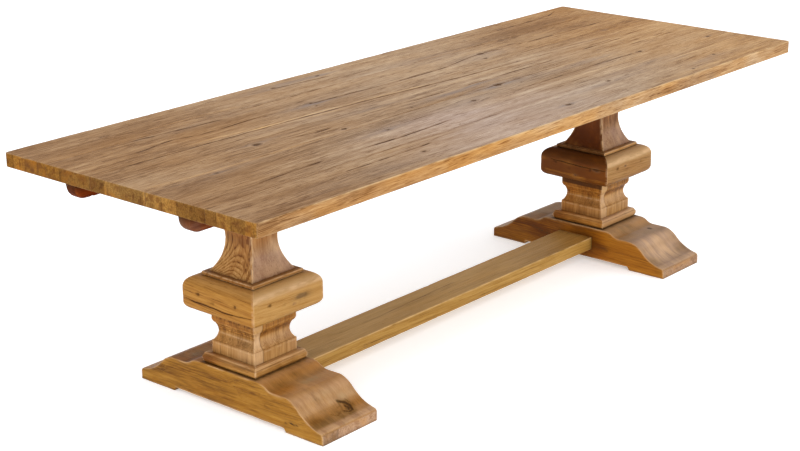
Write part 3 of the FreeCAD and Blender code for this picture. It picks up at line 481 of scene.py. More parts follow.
# the top is dry and a little greyed, the pedestals are waxed and honey coloured; the grey veil on upward faces is part
# greying, part painted sheen
TOP = wood("top_board", (0.520, 0.330, 0.185), (0.335, 0.190, 0.095), (0.120, 0.056, 0.024), ring=7.5, rings=0.22,
           streak=0.60, grey=0.42, grey_to=(0.335, 0.240, 0.170), end_to=(0.290, 0.120, 0.019), rough=0.54, base=0.33,
           relief=0.60, wear_and_sheen_to=(0.62, 0.40, 0.21), specular=0.06, lines=0.44, fine=2.7, calm=0.85,
           gain=(1.045, 1.11, 1.17), pivot=(0.32, 0.197, 0.125), rich=(1.0, 1.12, 1.26), short=2.4, cap=False,
           smudge=(0.205, 0.172, 0.150), crack_near=(0.110, 0.054, 0.026), crack_to=(0.042, 0.020, 0.010),
           drift=(0.270, 0.137, 0.058))
POST = wood("pedestal_timber", (0.500, 0.270, 0.085), (0.325, 0.152, 0.038), (0.110, 0.042, 0.009), ring=6.4,
            rings=0.34, streak=0.85, grey=0.34, grey_to=(0.325, 0.205, 0.120), end_to=(0.31, 0.150, 0.045), rough=0.48,
            base=0.30, relief=0.55, wear_and_sheen_to=(0.68, 0.44, 0.23), specular=0.12, drift=(0.29, 0.112, 0.024),
            smudge=(0.235, 0.185, 0.100), grime_and_shade_to=(0.045, 0.018, 0.006), calm=0.60, fine=1.5, short=1.5,
            pivot=(0.37, 0.205, 0.080), rich=(1.0, 1.03, 1.24))
BOARD = wood("stretcher_timber", (0.480, 0.280, 0.075), (0.320, 0.165, 0.034), (0.110, 0.048, 0.009), ring=6.4,
             rings=0.30, streak=0.62, grey=0.72, grey_to=(0.345, 0.225, 0.086), rough=0.48, base=0.31, relief=0.5,
             wear_and_sheen_to=(0.66, 0.43, 0.19), specular=0.12, drift=(0.27, 0.130, 0.022), grime_and_shade_to=(0.045, 0.018, 0.006),
             calm=0.55, fine=1.5, short=1.5, pivot=(0.34, 0.205, 0.078), rich=(1.0, 1.05, 1.20))
# the far foot has its own copy with a pinker grey veil and calmer streaks on its upward faces, which paints the sheen
# on its top
FOOT, FOOT_FAR = [
    wood(foot_name, (0.420, 0.212, 0.040), (0.272, 0.118, 0.016), (0.085, 0.029, 0.004), ring=6.4,
         rings=0.34, streak=foot_streak, grey=0.92, grey_to=foot_grey, end_to=(0.500, 0.320, 0.190), rough=0.46,
         base=0.32, relief=0.55, wear_and_sheen_to=(0.68, 0.44, 0.23), specular=0.12, drift=(0.25, 0.092, 0.012),
         smudge=(0.250, 0.200, 0.098), grime_and_shade_to=(0.040, 0.015, 0.004), crack_near=(0.110, 0.045, 0.012),
         crack_to=(0.050, 0.020, 0.006), calm=foot_calm, cloudy=(0.78, 1.0), fine=1.35, short=2.6,
         pivot=(0.33, 0.168, 0.062), rich=(1.0, 1.00, 1.28))
    for foot_name, foot_streak, foot_grey, foot_calm in (
        ("foot_timber", 0.66, (0.315, 0.172, 0.074), 0.36),
        ("far_foot_timber", 0.60, (0.290, 0.186, 0.102), 0.24),
    )
]
BLOCK = wood("block_timber", (0.500, 0.280, 0.078), (0.355, 0.176, 0.040), (0.115, 0.046, 0.010), ring=11.0,
             rings=0.16, streak=0.64, grey=0.26, grey_to=(0.36, 0.25, 0.13), end_to=(0.34, 0.18, 0.05), rough=0.46,
             base=0.30, relief=0.45, wear_and_sheen_to=(0.72, 0.47, 0.26), specular=0.10, lines=0.22,
             drift=(0.33, 0.135, 0.024), smudge=(0.175, 0.098, 0.034), crack_near=(0.160, 0.070, 0.014),
             crack_to=(0.080, 0.034, 0.010), grime_and_shade_to=(0.050, 0.020, 0.005), fine=1.5, short=1.5,
             pivot=(0.38, 0.190, 0.056), rich=(1.0, 1.12, 1.40))
NECK = wood("neck_timber", (0.560, 0.330, 0.125), (0.330, 0.165, 0.055), (0.075, 0.028, 0.008), ring=5.8,
            rings=0.86, streak=0.66, grey=0.72, grey_to=(0.360, 0.225, 0.148), rough=0.48, base=0.12, relief=0.6,
            specular=0.12, wear_and_sheen_to=(0.70, 0.46, 0.25), lines=0.15, uneven_by=1.6, broken=(0.60, 0.50), calm=0.6,
            fine=1.4, pivot=(0.37, 0.215, 0.100), rich=(1.0, 1.12, 1.28))
RUNNER = wood("runner_timber", (0.220, 0.060, 0.014), (0.145, 0.032, 0.005), (0.050, 0.011, 0.002), ring=6.0,
              rings=0.4, streak=1.0, grey=0.62, grey_to=(0.170, 0.098, 0.050), end_to=(0.140, 0.030, 0.004), rough=0.50,
              relief=0.5, wear_and_sheen_to=(0.24, 0.090, 0.030), specular=0.04, drift=(0.20, 0.040, 0.006), cloudy=(0.10, 1.0),
              pivot=(0.20, 0.075, 0.026), rich=(1.0, 1.20, 1.40))
ROUGH_Y = wood("sawn_timber", (0.440, 0.255, 0.115), (0.280, 0.150, 0.062), (0.105, 0.050, 0.020), ring=7.0,
               rings=0.5, streak=1.0, rough=0.68, axis="y", relief=0.8)
PEG_Z = wood("peg_timber", (0.520, 0.330, 0.150), (0.360, 0.200, 0.080), (0.150, 0.070, 0.028), ring=4.0,
             rings=0.4, streak=0.8, rough=0.6, axis="z", relief=0.5)
STEEL = steel("mild_steel")
NAIL = steel("nail_steel", (0.085, 0.060, 0.042))


# ---------------------------------------------------------------- the top
JOINTS = [495.0, 314.0, 130.0, -88.0, -311.0, -495.0]
LOW, HIGH = 728.0, 770.0
HALF_X, HALF_Y, PLAN_R = 1350.0, 495.0, 12.0

# Long cracks in each board: the lattice row that carries it, its line as (x, y), width, depth, reaches.
SPLITS = {
    2: [(212, [(-1350, 219), (-1109, 202), (-971, 228), (-867, 205), (-626, 214), (-281, 202), (-5, 188), (236, 190),
               (374, 216), (478, 228), (719, 216), (929, 211), (1305, 211), (1350, 211)], 1.5, 3.6, (-1350, 1250)),
        (290, [(-1350, 311), (-1100, 308), (-890, 292), (-678, 279), (0, 279), (1350, 285)], 1.2, 2.2, (-1110, -660))],
    3: [(96, [(-1350, 125), (-1091, 123), (-1005, 123), (-574, 112), (-229, 98), (29, 76), (202, 64), (430, 58),
              (684, 50), (1350, 50)], 2.0, 5.5, (-1350, 700)),
        (-28, [(-1350, -10), (-747, -19), (-609, -36), (-300, -20), (-143, -14), (512, -22), (805, -5), (1029, -5),
               (1350, -5)], 1.3, 2.8, (-760, 1040))],
    4: [(-254, [(-1350, -266), (-1126, -260), (-936, -251), (-643, -250), (-522, -257), (-247, -243), (0, -238),
                (1350, -238)], 2.0, 5.0, (-1135, -240)),
        (-160, [(-1350, -150), (-600, -146), (-100, -160), (240, -176), (620, -171), (900, -176), (1350, -170)], 1.2,
         2.4, (150, 905))],
    1: [(424, [(-1350, 440), (-350, 429), (-143, 412), (300, 410), (805, 412), (1150, 421), (1288, 474),
               (1350, 480)], 1.2, 2.4, (-360, 1285))],
    5: [(-368, [(-1350, -362), (-700, -366), (-300, -352), (200, -372), (700, -380), (1350, -372)], 1.2, 2.2,
         (-900, -420))],
}
# gaps in those cracks, where the wood has stayed whole
WHOLE = {
    (2, 0): [(-600, -380), (560, 700)], (3, 1): [(-590, -160), (540, 780)], (4, 0): [(-860, -680)],
    (1, 0): [(-130, 790)],
}
KNOTS = [  # x, y, radius, stretch, strength
    (164, -79 - 12, 11, 1.7, 1.0), (478, 228, 9, 1.8, 1.0), (434, 171, 7, 2.0, 0.9), (866, -174, 8, 1.6, 1.0),
    (1228, -229, 7, 1.5, 1.0), (434, -333, 8, 1.6, 0.9), (98, -410, 9, 1.6, 1.0), (-591, -402, 7, 1.6, 0.9),
    (-479, -174, 6, 1.6, 0.8), (-48, -157, 7, 1.6, 0.9), (-557, -70, 7, 1.6, 1.0), (-841, 7, 10, 1.6, 1.0),
    (-410, 176, 6, 1.6, 0.8), (-398, 211, 6, 1.8, 0.9), (-333, 435, 6, 2.4, 0.9), (-122, 440, 6, 2.2, 0.9),
    (-1074, 405, 5, 2.0, 0.8), (702, 302, 6, 1.6, 0.8), (1078, 133 - 14, 7, 1.6, 0.9), (469, 64, 6, 2.0, 0.9),
    (-1109, -108, 6, 1.8, 0.8), (760, -452, 6, 1.6, 0.8), (-240, -62, 5, 2.0, 0.7), (610, 400, 6, 2.0, 0.7),
    (1120, 330, 5, 1.8, 0.7), (-900, -330, 5, 1.8, 0.7), (990, -395, 6, 1.8, 0.8),
]
PATCHES = [  # x, y, reach along, reach across, strength
    (-835, 14, 120, 26, 0.24), (-408, 204, 60, 16, 0.30), (-516, 71, 60, 14, 0.12), (685, -171, 90, 18, 0.30),
    (10, -40, 200, 22, 0.80), (150, -92, 150, 17, 0.90), (470, 200, 150, 30, 0.45), (-330, 437, 170, 18, 0.50),
    (-120, 442, 120, 14, 0.42), (-400, 196, 110, 24, 0.45), (-480, -172, 140, 22, 0.30), (-50, -150, 150, 22, 0.34),
    (420, -330, 210, 34, 0.34), (100, -408, 150, 30, 0.34), (760, -310, 220, 46, 0.28), (-1120, -110, 150, 30, 0.24),
    (250, 330, 260, 34, 0.22), (850, 60, 220, 20, 0.22), (-760, 300, 220, 30, 0.20), (-900, -430, 240, 30, 0.22),
    (560, -120, 260, 26, 0.30), (-250, 30, 260, 30, 0.24), (900, -420, 220, 30, 0.26), (-620, 90, 200, 16, 0.16),
]
BOARDS = {  # pith across and below the face, drift, tone, warmth, seed, lip
    1: dict(pith=(446, 706), slope=(0.012, 0.016), value=0.03, warm=0.02, rings=0.02, lip=0.15),
    2: dict(pith=(196, 690), slope=(-0.016, -0.014), value=0.02, warm=0.05, rings=0.04, lip=0.45),
    3: dict(pith=(40, 712), slope=(0.010, 0.018), value=0.00, warm=0.00, rings=0.06, lip=0.10),
    4: dict(pith=(-236, 700), slope=(-0.014, 0.012), value=0.03, warm=-0.05, rings=0.05, lip=0.50),
    5: dict(pith=(-382, 694), slope=(0.012, -0.016), value=0.02, warm=-0.02, rings=0.03, lip=0.20),
}


CHIPS = [(412, 9, 5.0), (351, 6, 4.5), (300, 5, 2.5), (257, 5, 3.2), (181, 7, 3.0), (60, 5, 2.5), (-40, 6, 2.5),
         (-150, 5, 3.0), (-262, 6, 2.6), (-390, 7, 3.0), (-455, 5, 2.5)]  # y, width, depth, on the left end
LAMELLAS = [495, 455, 402, 352, 314, 255, 205, 130, 74, 10, -40, -88, -150, -205, -262, -311, -352, -402, -450, -495]
END_MARKS = [(395, 752, 20, 12, 0.9), (372, 738, 10, 9, 0.8), (126, 745, 4, 22, 1.0), (112, 752, 7, 12, 0.7),
             (350, 748, 3, 24, 1.1), (338, 758, 9, 7, 0.8), (281, 733, 16, 6, 0.6), (160, 757, 14, 6, 0.6),
             (20, 758, 12, 6, 0.6), (-110, 735, 10, 8, 0.6), (-225, 757, 12, 6, 0.6), (-300, 757, 14, 6, 0.5),
             (-375, 738, 9, 9, 0.7), (-470, 745, 8, 12, 0.6), (60, 740, 3, 16, 0.6), (-40, 752, 3, 16, 0.7),
             (-14, 740, 6, 7, 0.6), (-190, 745, 8, 10, 0.5), (-335, 742, 22, 14, 0.35), (300, 738, 10, 8, 0.45),
             (452, 745, 8, 10, 0.45), (-430, 750, 8, 8, 0.55), (232, 756, 12, 7, 0.4), (-262, 752, 6, 9, 0.5)]
GOLD = [  # lighter stripes along the grain: points (x, y), half width, reach, strength
    ([(-1350, -70), (-1198, -80), (-1086, -90), (1350, -92)], 6, (-1350, -560), 1.0),
    ([(-1350, 372), (-881, 364), (-726, 360), (-547, 352), (1350, 345)], 5, (-960, -480), 0.8),
    ([(-1350, 160), (-875, 150), (-743, 131), (-567, 99), (0, 70), (1350, 60)], 6, (-1000, -260), 0.9),
    ([(-1350, 136), (-1091, 134), (-1005, 134), (-574, 123), (-229, 109), (29, 87), (1350, 60)], 4, (-760, 120), 1.2),
    ([(-1350, 60), (1350, 20)], 9, (-300, 600), 0.5),
    ([(-1350, -205), (1350, -225)], 8, (-200, 900), 0.5),
    ([(-1350, -330), (1350, -322)], 5, (-700, 350), 0.6),
    ([(-1350, 255), (1350, 262)], 9, (150, 1200), 0.5),
    ([(-1350, -470), (1350, -462)], 10, (-900, 1300), 0.35),
]


def warp_rows(v, anchors, values):
    """Piecewise straight map of row v; values[k] is where anchor k goes, point by point."""
    anchors = np.array(anchors, float)
    k = np.clip(np.searchsorted(anchors, v, side="right") - 1, 0, len(anchors) - 2)
    values = np.stack(values, 0)
    n = np.arange(len(v))
    lo, hi = values[k, n], values[k + 1, n]
    t = (v - anchors[k]) / (anchors[k + 1] - anchors[k])
    return lo + (hi - lo) * t


def split_line(x, split, key, seed):
    """Where a crack runs, how wide and how deep it is, along x."""
    row, line, width, depth, (start, end) = split
    lx, ly = [c[0] for c in line], [c[1] for c in line]
    y = np.interp(x, lx, ly)
    soft = 30.0
    y = (y + np.interp(x - soft, lx, ly) + np.interp(x + soft, lx, ly)) / 3
    y = y + (line_noise(x / 42.0, seed) - 0.5) * 4.2 + (line_noise(x / 11.0, seed + 1) - 0.5) * 1.5
    on = smooth(x, start - 1, start + 40) * (1 - smooth(x, end - 70, end)) if start > -1349 else 1 - smooth(x, end - 70, end)
    for a, b in WHOLE.get(key, []):
        on = on * (1 - smooth(x, a, a + 40) * (1 - smooth(x, b - 40, b)))
    vary = 0.35 + 0.95 * line_noise(x / 55.0, seed + 2)
    shut = smooth(x, -1350, -1240) if start < -1349 else 1.0
    return y, on * shut * width * (0.5 + 0.6 * vary), on * shut * depth * np.clip(vary, 0.25, 1.15), on * (0.35 + 0.65 * shut)


def plank(i):
    hi, lo = JOINTS[i - 1], JOINTS[i]
    info = BOARDS[i]
    cuts = sorted(SPLITS.get(i, []), key=lambda s: s[0])
    order = [SPLITS[i].index(c) for c in cuts] if cuts else []
    gap = 1.0
    rows_at = []
    for c in cuts:
        rows_at += [c[0] - 3.0, c[0] - gap, c[0], c[0] + gap, c[0] + 3.0]
    ys = run(lo, hi, 4.6, EDGE if i == 5 else FINE, EDGE if i == 1 else FINE, also=rows_at)
    xs = run(-HALF_X, HALF_X, 4.2)
    zs = run(LOW, HIGH, 8.0, (0.8, 1.8, 3.2, 5.0), EDGE)
    ijk, faces = lattice(len(xs), len(ys), len(zs))
    x, v, z = xs[ijk[:, 0]], ys[ijk[:, 1]], zs[ijk[:, 2]]
    n = len(x)
    # rows follow the cracks
    y = v.copy()
    crack = np.zeros(n)
    if cuts:
        anchors, values, lines = [lo], [np.full(n, lo)], []
        for c, k in zip(cuts, order):
            yc, width, depth, on = split_line(x, c, (i, k), 100 * i + 7 * k)
            half = np.maximum(width, 0.5) / 2
            anchors += [c[0] - gap, c[0], c[0] + gap]
            values += [yc - half, yc, yc + half]
            lines.append((c, yc, width, depth, on))
        anchors.append(hi)
        values.append(np.full(n, hi))
        y = warp_rows(v, anchors, values)
        for c, yc, width, depth, on in lines:
            at = np.abs(v - c[0]) < 1e-6
            z = np.where(at, LOW + (z - LOW) * (HIGH - LOW - depth) / (HIGH - LOW), z)
            deep = (np.abs(np.abs(x) - HALF_X) < 0.01) & at
            x = np.where(deep, x - np.sign(x) * 0.7 * depth, x)
            near = np.abs(y - yc)
            seed = 900 + 10 * i + int(abs(c[0]))
            fade = 0.50 * smooth(line_noise(x / 38.0, seed), 0.25, 0.65) + 0.25 * line_noise(x / 9.0, seed + 1)
            fade = fade + (0.40 if c[3] > 4 else 0.30) - (0.16 * smooth(-x, 950, 1250) if i == 2 else 0)
            if c[3] > 5:
                fade = 0.60 + 0.22 * smooth(line_noise(x / 46.0, seed), 0.3, 0.6) + 0.26 * line_noise(x / 9.0, seed + 1)
                fade = fade - 0.22 * smooth(x, 60, 420)
            crack = np.maximum(crack, np.clip(on * fade * (1.04 - np.clip((near - 0.2) / 6.6, 0, 1.04)), 0, 1))
    flat_y = y.copy()
    # upright corners of the whole top
    ax = np.clip((np.abs(x) - (HALF_X - PLAN_R)) / PLAN_R, 0, 1)
    by = np.clip((np.abs(y) - (HALF_Y - PLAN_R)) / PLAN_R, 0, 1)
    corner = (ax > 0) & (by > 0)
    nx = np.where(corner, ax * np.sqrt(1 - by * by / 2), ax)
    ny = np.where(corner, by * np.sqrt(1 - ax * ax / 2), by)
    x = np.where(corner, np.sign(x) * (HALF_X - PLAN_R + PLAN_R * nx), x)
    y = np.where(corner, np.sign(y) * (HALF_Y - PLAN_R + PLAN_R * ny), y)
    # worn arris round the outside, not along the joints
    qx = np.clip(x, -(HALF_X - PLAN_R), HALF_X - PLAN_R)
    qy = np.clip(y, -(HALF_Y - PLAN_R), HALF_Y - PLAN_R)
    ox, oy = x - qx, y - qy
    out = np.hypot(ox, oy)
    ux, uy = ox / np.maximum(out, 1e-9), oy / np.maximum(out, 1e-9)
    u = PLAN_R - out
    spot = np.stack([x / 60, y / 60, np.zeros(n)], 1)
    dents = smooth(noise(np.stack([x / 17, y / 17, np.zeros(n) + 3.3], 1), 77), 0.80, 0.95)
    r_top = 2.0 + 2.6 * fbm(spot, 2, 11) + 2.4 * dents
    r_low = 1.6 + 0.8 * fbm(spot, 2, 12)
    chip = np.zeros(n)
    for cy, cw, deep in CHIPS:
        chip = chip + deep * np.exp(-((y - cy) / cw) ** 2)
    chip = chip * smooth(-x, HALF_X - 40, HALF_X - 14)
    r_top = r_top + chip
    upper = z > (LOW + HIGH) / 2
    w = np.where(upper, HIGH - z, z - LOW)
    r = np.where(upper, r_top, r_low)
    r = np.minimum(r, PLAN_R * 0.75)
    a, b = pull_round(r - u, r - w, r)
    moved = (r - u > 0) & (r - w > 0)
    x = np.where(moved, x - ux * ((r - a) - u), x)
    y = np.where(moved, y - uy * ((r - a) - u), y)
    z = np.where(moved, z - np.where(upper, 1, -1) * ((r - b) - w), z)
    edge = np.clip(np.where(u < 12, np.maximum(u, w), 99), 0, 99)
    wear_and_sheen = np.exp(-(edge / 3.4) ** 2) * np.where(upper, 1.0, 0.5)
    wear_and_sheen = wear_and_sheen * np.where((np.abs(x) > HALF_X - 14) & (np.abs(y) < HALF_Y - 14), 0.18, 0.85)
    crack = np.maximum(crack, np.clip(chip / 5.0, 0, 1) ** 2 * 0.8 * np.exp(-(edge / 4.5) ** 2) * upper)
    # small grooves along the glued joints
    grime_and_shade = np.zeros(n)
    for joint in (lo if i < 5 else None, hi if i > 1 else None):
        if joint is None:
            continue
        d = np.abs(flat_y - joint)
        deep = 0.55 + 0.9 * line_noise(x / 70.0, 40 + int(abs(joint)))
        cut = np.clip(1 - d / 1.0, 0, 1)
        z = np.where(upper & (w < 1.2), z - deep * cut, z)
        z = np.where(~upper & (w < 1.2), z + 0.5 * cut, z)
        x = np.where(np.abs(x) > HALF_X - 1.0, x - np.sign(x) * 0.45 * np.clip(1 - d / 0.8, 0, 1), x)
        y = np.where(d < 1e-6, y + (0.08 if joint == lo else -0.08), y)
        streak = line_noise(x / 90.0, 60 + int(abs(joint)))
        fine = line_noise(x / 31.0, 63 + int(abs(joint)))
        crack = np.maximum(crack, (0.24 + 0.50 * smooth(streak, 0.34, 0.70) + 0.30 * smooth(fine, 0.46, 0.74))
                           * np.clip(1 - d / 4.0, 0, 1))
    p = np.stack([x, y, z], 1)
    # wear hollows of the face, knots and small knocks
    top = smooth(HIGH - z, 3.0, 0.0)
    hollow = 0.55 * fbm(np.stack([x / 210, y / 70, np.zeros(n) + i], 1), 2, 21) + info["lip"] * 0.5
    knocks = smooth(noise(np.stack([x / 15, y / 11, np.zeros(n) + 9.1], 1), 5), 0.90, 0.99) * 0.5
    flow = y.copy()
    knot = np.zeros(n)
    sink = np.zeros(n)
    stained = np.zeros(n)
    for kx, ky, radius, stretch, strength in KNOTS:
        if not (lo - 14 < ky < hi + 14):
            continue
        dx, dy = (x - kx) / stretch, y - ky
        rho = np.sqrt(dx * dx + dy * dy)
        flow = flow - dy * strength * radius ** 2 * 2.2 / np.maximum(rho, radius * 1.05) ** 2
        shape = 0.72 + 0.5 * line_noise(np.arctan2(dy, dx) * 1.3 + kx, int(abs(ky)))
        knot = np.maximum(knot, strength * np.clip(1 - rho / (1.9 * radius * shape), 0, 1))
        stained = stained + 0.36 * strength * np.exp(-(dx / (2.6 * radius)) ** 2 - (dy / (1.15 * radius)) ** 2)
        sink = sink + 0.7 * strength * np.exp(-(rho / radius) ** 2)
    p[:, 2] -= top * (hollow + knocks + sink)
    halo = stained
    cloud = fbm(np.stack([x / 90, y / 16, z / 40], 1), 3, 31)
    for px, py, rx, ry, strength in PATCHES:
        halo = halo + 1.15 * strength * np.exp(-((x - px) / rx) ** 2 - ((y - py) / ry) ** 2)
    halo = np.clip(halo * (0.35 + 1.2 * cloud), 0, 1) * smooth(HIGH - z, 8.0, 1.0)
    p, normal = roughen(p, faces, 0.22, np.array([26.0, 7.0, 9.0]), 200 + i)
    gp = grained(x, flow, p[:, 2], info["pith"], 300 + i, info["slope"], 0.010)
    # across the whole top the right end is a little warmer and lighter, the left end browner
    left_end, right_end = smooth(-x, 150, 1150), smooth(x, 350, 1250)
    area = fbm(np.stack([x / 260, y / 60, np.zeros(n) + 2.2], 1), 3, 81 + i)
    tn = toned(n, info["value"], info["warm"], info["rings"])
    tn[:, 0] += 0.030 + 0.22 * left_end + 0.01 * right_end + 0.24 * (area - 0.5)
    tn[:, 1] += 0.42 * right_end + 0.22 * left_end + 0.22 * (fbm(np.stack([x / 300, y / 90, z * 0], 1), 2, 83) - 0.5)
    for ax, ay, rx, ry, amount in ((881, 354, 300, 170, 0.27), (-292, 143, 260, 110, 0.12), (837, -234, 220, 200, -0.08), (-1070, -41, 200, 160, -0.06), (1188, 209, 260, 120, 0.12)):
        tn[:, 0] += amount * np.exp(-((x - ax) / rx) ** 2 - ((y - ay) / ry) ** 2) * (HIGH - z < 12)
    pale = np.exp(-((x + 250) / 520.0) ** 2) * smooth(-y, 60, 240)
    pale = pale * (HIGH - z < 12) * (np.abs(y) < HALF_Y - 6)
    tn[:, 0] -= 0.125 * pale
    tn[:, 1] += 0.13 * (1 - left_end) - 0.55 * pale
    for line, half, (start, end), strength in GOLD:
        yc = np.interp(x, [c[0] for c in line], [c[1] for c in line])
        on = strength * smooth(x, start - 1, start + 60) * (1 - smooth(x, end - 160, end)) * np.exp(-((y - yc) / half) ** 2)
        on = on * (0.35 + 0.9 * line_noise(x / 120.0, 71 + int(half) + i)) * (HIGH - z < 20)
        tn[:, 0] -= 0.34 * on
        tn[:, 1] += 0.34 * on
    side = np.clip(np.abs(normal[:, 1]), 0, 1) * (np.abs(y) > HALF_Y - 8)
    lengthy = fbm(np.stack([x / 190, z / 34, x * 0], 1), 3, 87)
    tn[:, 0] -= side * (0.06 * np.exp(-((x + 350) / 420.0) ** 2) + 0.12 * smooth(-x, 650, 1050) + 0.10 * smooth(x, 500, 1000) - 0.12 * smooth(x, 400, 1200) - 0.50 * (lengthy - 0.5))
    tn[:, 2] -= 0.16 * side
    tn[:, 1] += side * (0.35 + 0.40 * np.exp(-((x + 480) / 330.0) ** 2) - 0.50 * smooth(x, 500, 1000) + 0.9 * (fbm(np.stack([x / 110, z / 60, x * 0 + 4], 1), 2, 88) - 0.5))
    # sawn ends, where each narrow board that the planks were glued from keeps its own tone
    eg = smooth(np.abs(normal[:, 0]), 0.55, 0.9)
    k = np.clip(np.searchsorted(-np.array(LAMELLAS, float), -flat_y, side="right") - 1, 0, len(LAMELLAS) - 2)
    tones = np.random.default_rng(9).uniform(-0.17, 0.17, (2, len(LAMELLAS)))
    own = np.where(x < 0, tones[0][k], tones[1][k]) + 0.13 * (x < 0) * np.exp(-((flat_y + 20) / 150.0) ** 2)
    own = own + 0.05 * (x < 0) * smooth(-flat_y, 150, 300) + 0.03
    seam = np.abs(flat_y[:, None] - np.array(LAMELLAS[1:-1], float)[None, :]).min(1)
    own = own + 0.26 * np.exp(-(seam / 2.2) ** 2) * smooth(line_noise(z / 9.0 + np.round(flat_y / 30.0) * 2.3, 93), 0.30, 0.55)
    own = own - 0.50 * (x < 0) * np.exp(-((flat_y + 85) / 3.6) ** 2)
    tn[:, 0] = tn[:, 0] * (1 - eg) + own * eg
    dull = -0.30 + 0.22 * smooth(flat_y, 180, 330) - 0.88 * np.exp(-((flat_y + 10) / 170.0) ** 2) - 0.20 * smooth(-flat_y, 150, 300)
    tn[:, 1] = tn[:, 1] * (1 - eg) + dull * eg
    marks_at = np.zeros(n)
    for ey, ez, ry, rz, strength in END_MARKS:
        for sign, shift in ((-1, 0), (1, 37)):
            hit = np.exp(-((sign * y + sign * 0 - (ey if sign < 0 else ey - shift)) / ry) ** 2 - ((z - ez) / rz) ** 2)
            if sign < 0:
                hit = np.exp(-((y - ey) / ry) ** 2 - ((z - ez) / rz) ** 2)
            marks_at = marks_at + strength * hit * (x * sign > 0)
    ragged = fbm(np.stack([x * 0, y / 7, z / 7], 1), 3, 91)
    marks_at = np.clip(marks_at * (0.2 + 1.9 * ragged), 0, 1)
    halo = np.where(np.abs(x) > HALF_X - 3, marks_at * eg, halo)
    # the veil mark: upward faces greyer and paler, partly greying and partly painted sheen, less of it towards both
    # ends
    marks = {
        "gp": gp,
        "mk": np.stack([knot * smooth(HIGH - z, 30, 5), crack * np.clip(top + eg * (z > 745), 0, 1), halo], 1),
        "sf": packed(grime_and_shade, wear_and_sheen, smooth(normal[:, 2], 0.3, 0.95) * (1 - 0.62 * np.maximum(left_end, right_end))),
        "tn": tn,
        "eg": np.stack([eg, eg, eg], 1),
    }
    make("board_%d" % i, p, faces, marks, "frame", TOP, "top_plank_%d" % i)


# ---------------------------------------------------------------- profiles
def arc(p0, p1, r, side, n):
    """Points on an arc from p0 to p1, centre on the left (+1) or right (-1) of the way."""
    p0, p1 = np.array(p0, float), np.array(p1, float)
    mid, along = (p0 + p1) / 2, p1 - p0
    half = np.linalg.norm(along) / 2
    left = np.array([-along[1], along[0]]) / (2 * half)
    c = mid + left * side * math.sqrt(max(r * r - half * half, 0))
    a0 = math.atan2(p0[1] - c[1], p0[0] - c[0])
    a1 = math.atan2(p1[1] - c[1], p1[0] - c[0])
    if side > 0 and a1 < a0:
        a1 += 2 * math.pi
    if side < 0 and a1 > a0:
        a1 -= 2 * math.pi
    t = np.linspace(a0, a1, n)
    return [(c[0] + r * math.cos(v), c[1] + r * math.sin(v)) for v in t]


def soften(line, r, steps=4):
    """Rounds the sharp corners of an open line of points with radius r."""
    line = [np.array(q, float) for q in line]
    out = [line[0]]
    for k in range(1, len(line) - 1):
        a, b, c = line[k - 1], line[k], line[k + 1]
        u, v = a - b, c - b
        lu, lv = np.linalg.norm(u), np.linalg.norm(v)
        if lu < 1e-6 or lv < 1e-6:
            continue
        turn = math.acos(max(-1.0, min(1.0, float(-(u @ v) / (lu * lv)))))
        if turn < math.radians(24):
            out.append(b)
            continue
        cut = min(r * math.tan(turn / 2), lu * 0.45, lv * 0.45)
        s, e = b + u / lu * cut, b + v / lv * cut
        for t in np.linspace(0, 1, steps + 1):
            out.append((1 - t) ** 2 * s + 2 * t * (1 - t) * b + t * t * e)
    out.append(line[-1])
    return np.array(out)


def thicken(line, step):
    """Adds points so that no two are much more than step apart."""
    out = [line[0]]
    for a, b in zip(line[:-1], line[1:]):
        n = max(1, int(math.ceil(np.linalg.norm(b - a) / step)))
        for k in range(1, n + 1):
            out.append(a + (b - a) * k / n)
    out = np.array(out)
    keep = [0] + [k for k in range(1, len(out)) if np.linalg.norm(out[k] - out[k - 1]) > 0.05]
    return out[keep]


# ---------------------------------------------------------------- feet and runners: a side view given a width
def inset(q, poly):
    """Distance from points to a closed outline, and the outward direction there."""
    a = poly
    b = np.roll(poly, -1, 0)
    ab = b - a
    l2 = np.maximum((ab ** 2).sum(1), 1e-12)
    best = np.full(len(q), 1e9)
    which = np.zeros(len(q), int)
    for k in range(len(a)):
        t = np.clip(((q - a[k]) @ ab[k]) / l2[k], 0, 1)
        d = np.linalg.norm(q - (a[k] + t[:, None] * ab[k]), axis=1)
        hit = d < best - 1e-9
        best[hit] = d[hit]
        which[hit] = k
    n = np.stack([ab[:, 1], -ab[:, 0]], 1) / np.sqrt(l2)[:, None]
    return best, n[which]


def slab(s_list, width_list, rows, bottom, top, half, radius, seed, sinks=()):
    """Block along s, with a shaped underside and upper side, worn along its side edges.
    Returns width, s, z, faces and how near each point is to an edge."""
    ijk, faces = lattice(len(width_list), len(s_list), len(rows))
    b, s, k = width_list[ijk[:, 0]], s_list[ijk[:, 1]], rows[ijk[:, 2]]
    zb, zt = bottom(s), top(s)
    z = zb + (zt - zb) * k
    poly = np.concatenate([np.stack([s_list, bottom(s_list)], 1), np.stack([s_list, top(s_list)], 1)[::-1]])
    dist, n2 = inset(np.stack([s, z], 1), poly)
    u = half - np.abs(b)
    n = len(b)
    r = radius * (0.55 + 0.95 * fbm(np.stack([b / 45, s / 45, z / 45], 1), 2, seed))
    r = r + radius * 0.8 * smooth(noise(np.stack([s / 16, z / 16, b * 0 + 1.7], 1), seed + 3), 0.82, 0.96)
    aa, bb = pull_round(r - u, r - dist, r)
    moved = (r - u > 0) & (r - dist > 0)
    nb = np.where(moved, np.sign(b) * (half - (r - aa)), b)
    shift = np.where(moved, (r - bb) - dist, 0.0)
    ns, nz = s - n2[:, 0] * shift, z - n2[:, 1] * shift
    wear_and_sheen = np.exp(-(np.maximum(u, dist) / 3.6) ** 2)
    return nb, ns, nz, b, s, z, faces, wear_and_sheen


FOOT_HALF, FOOT_W = 373.0, 117.0


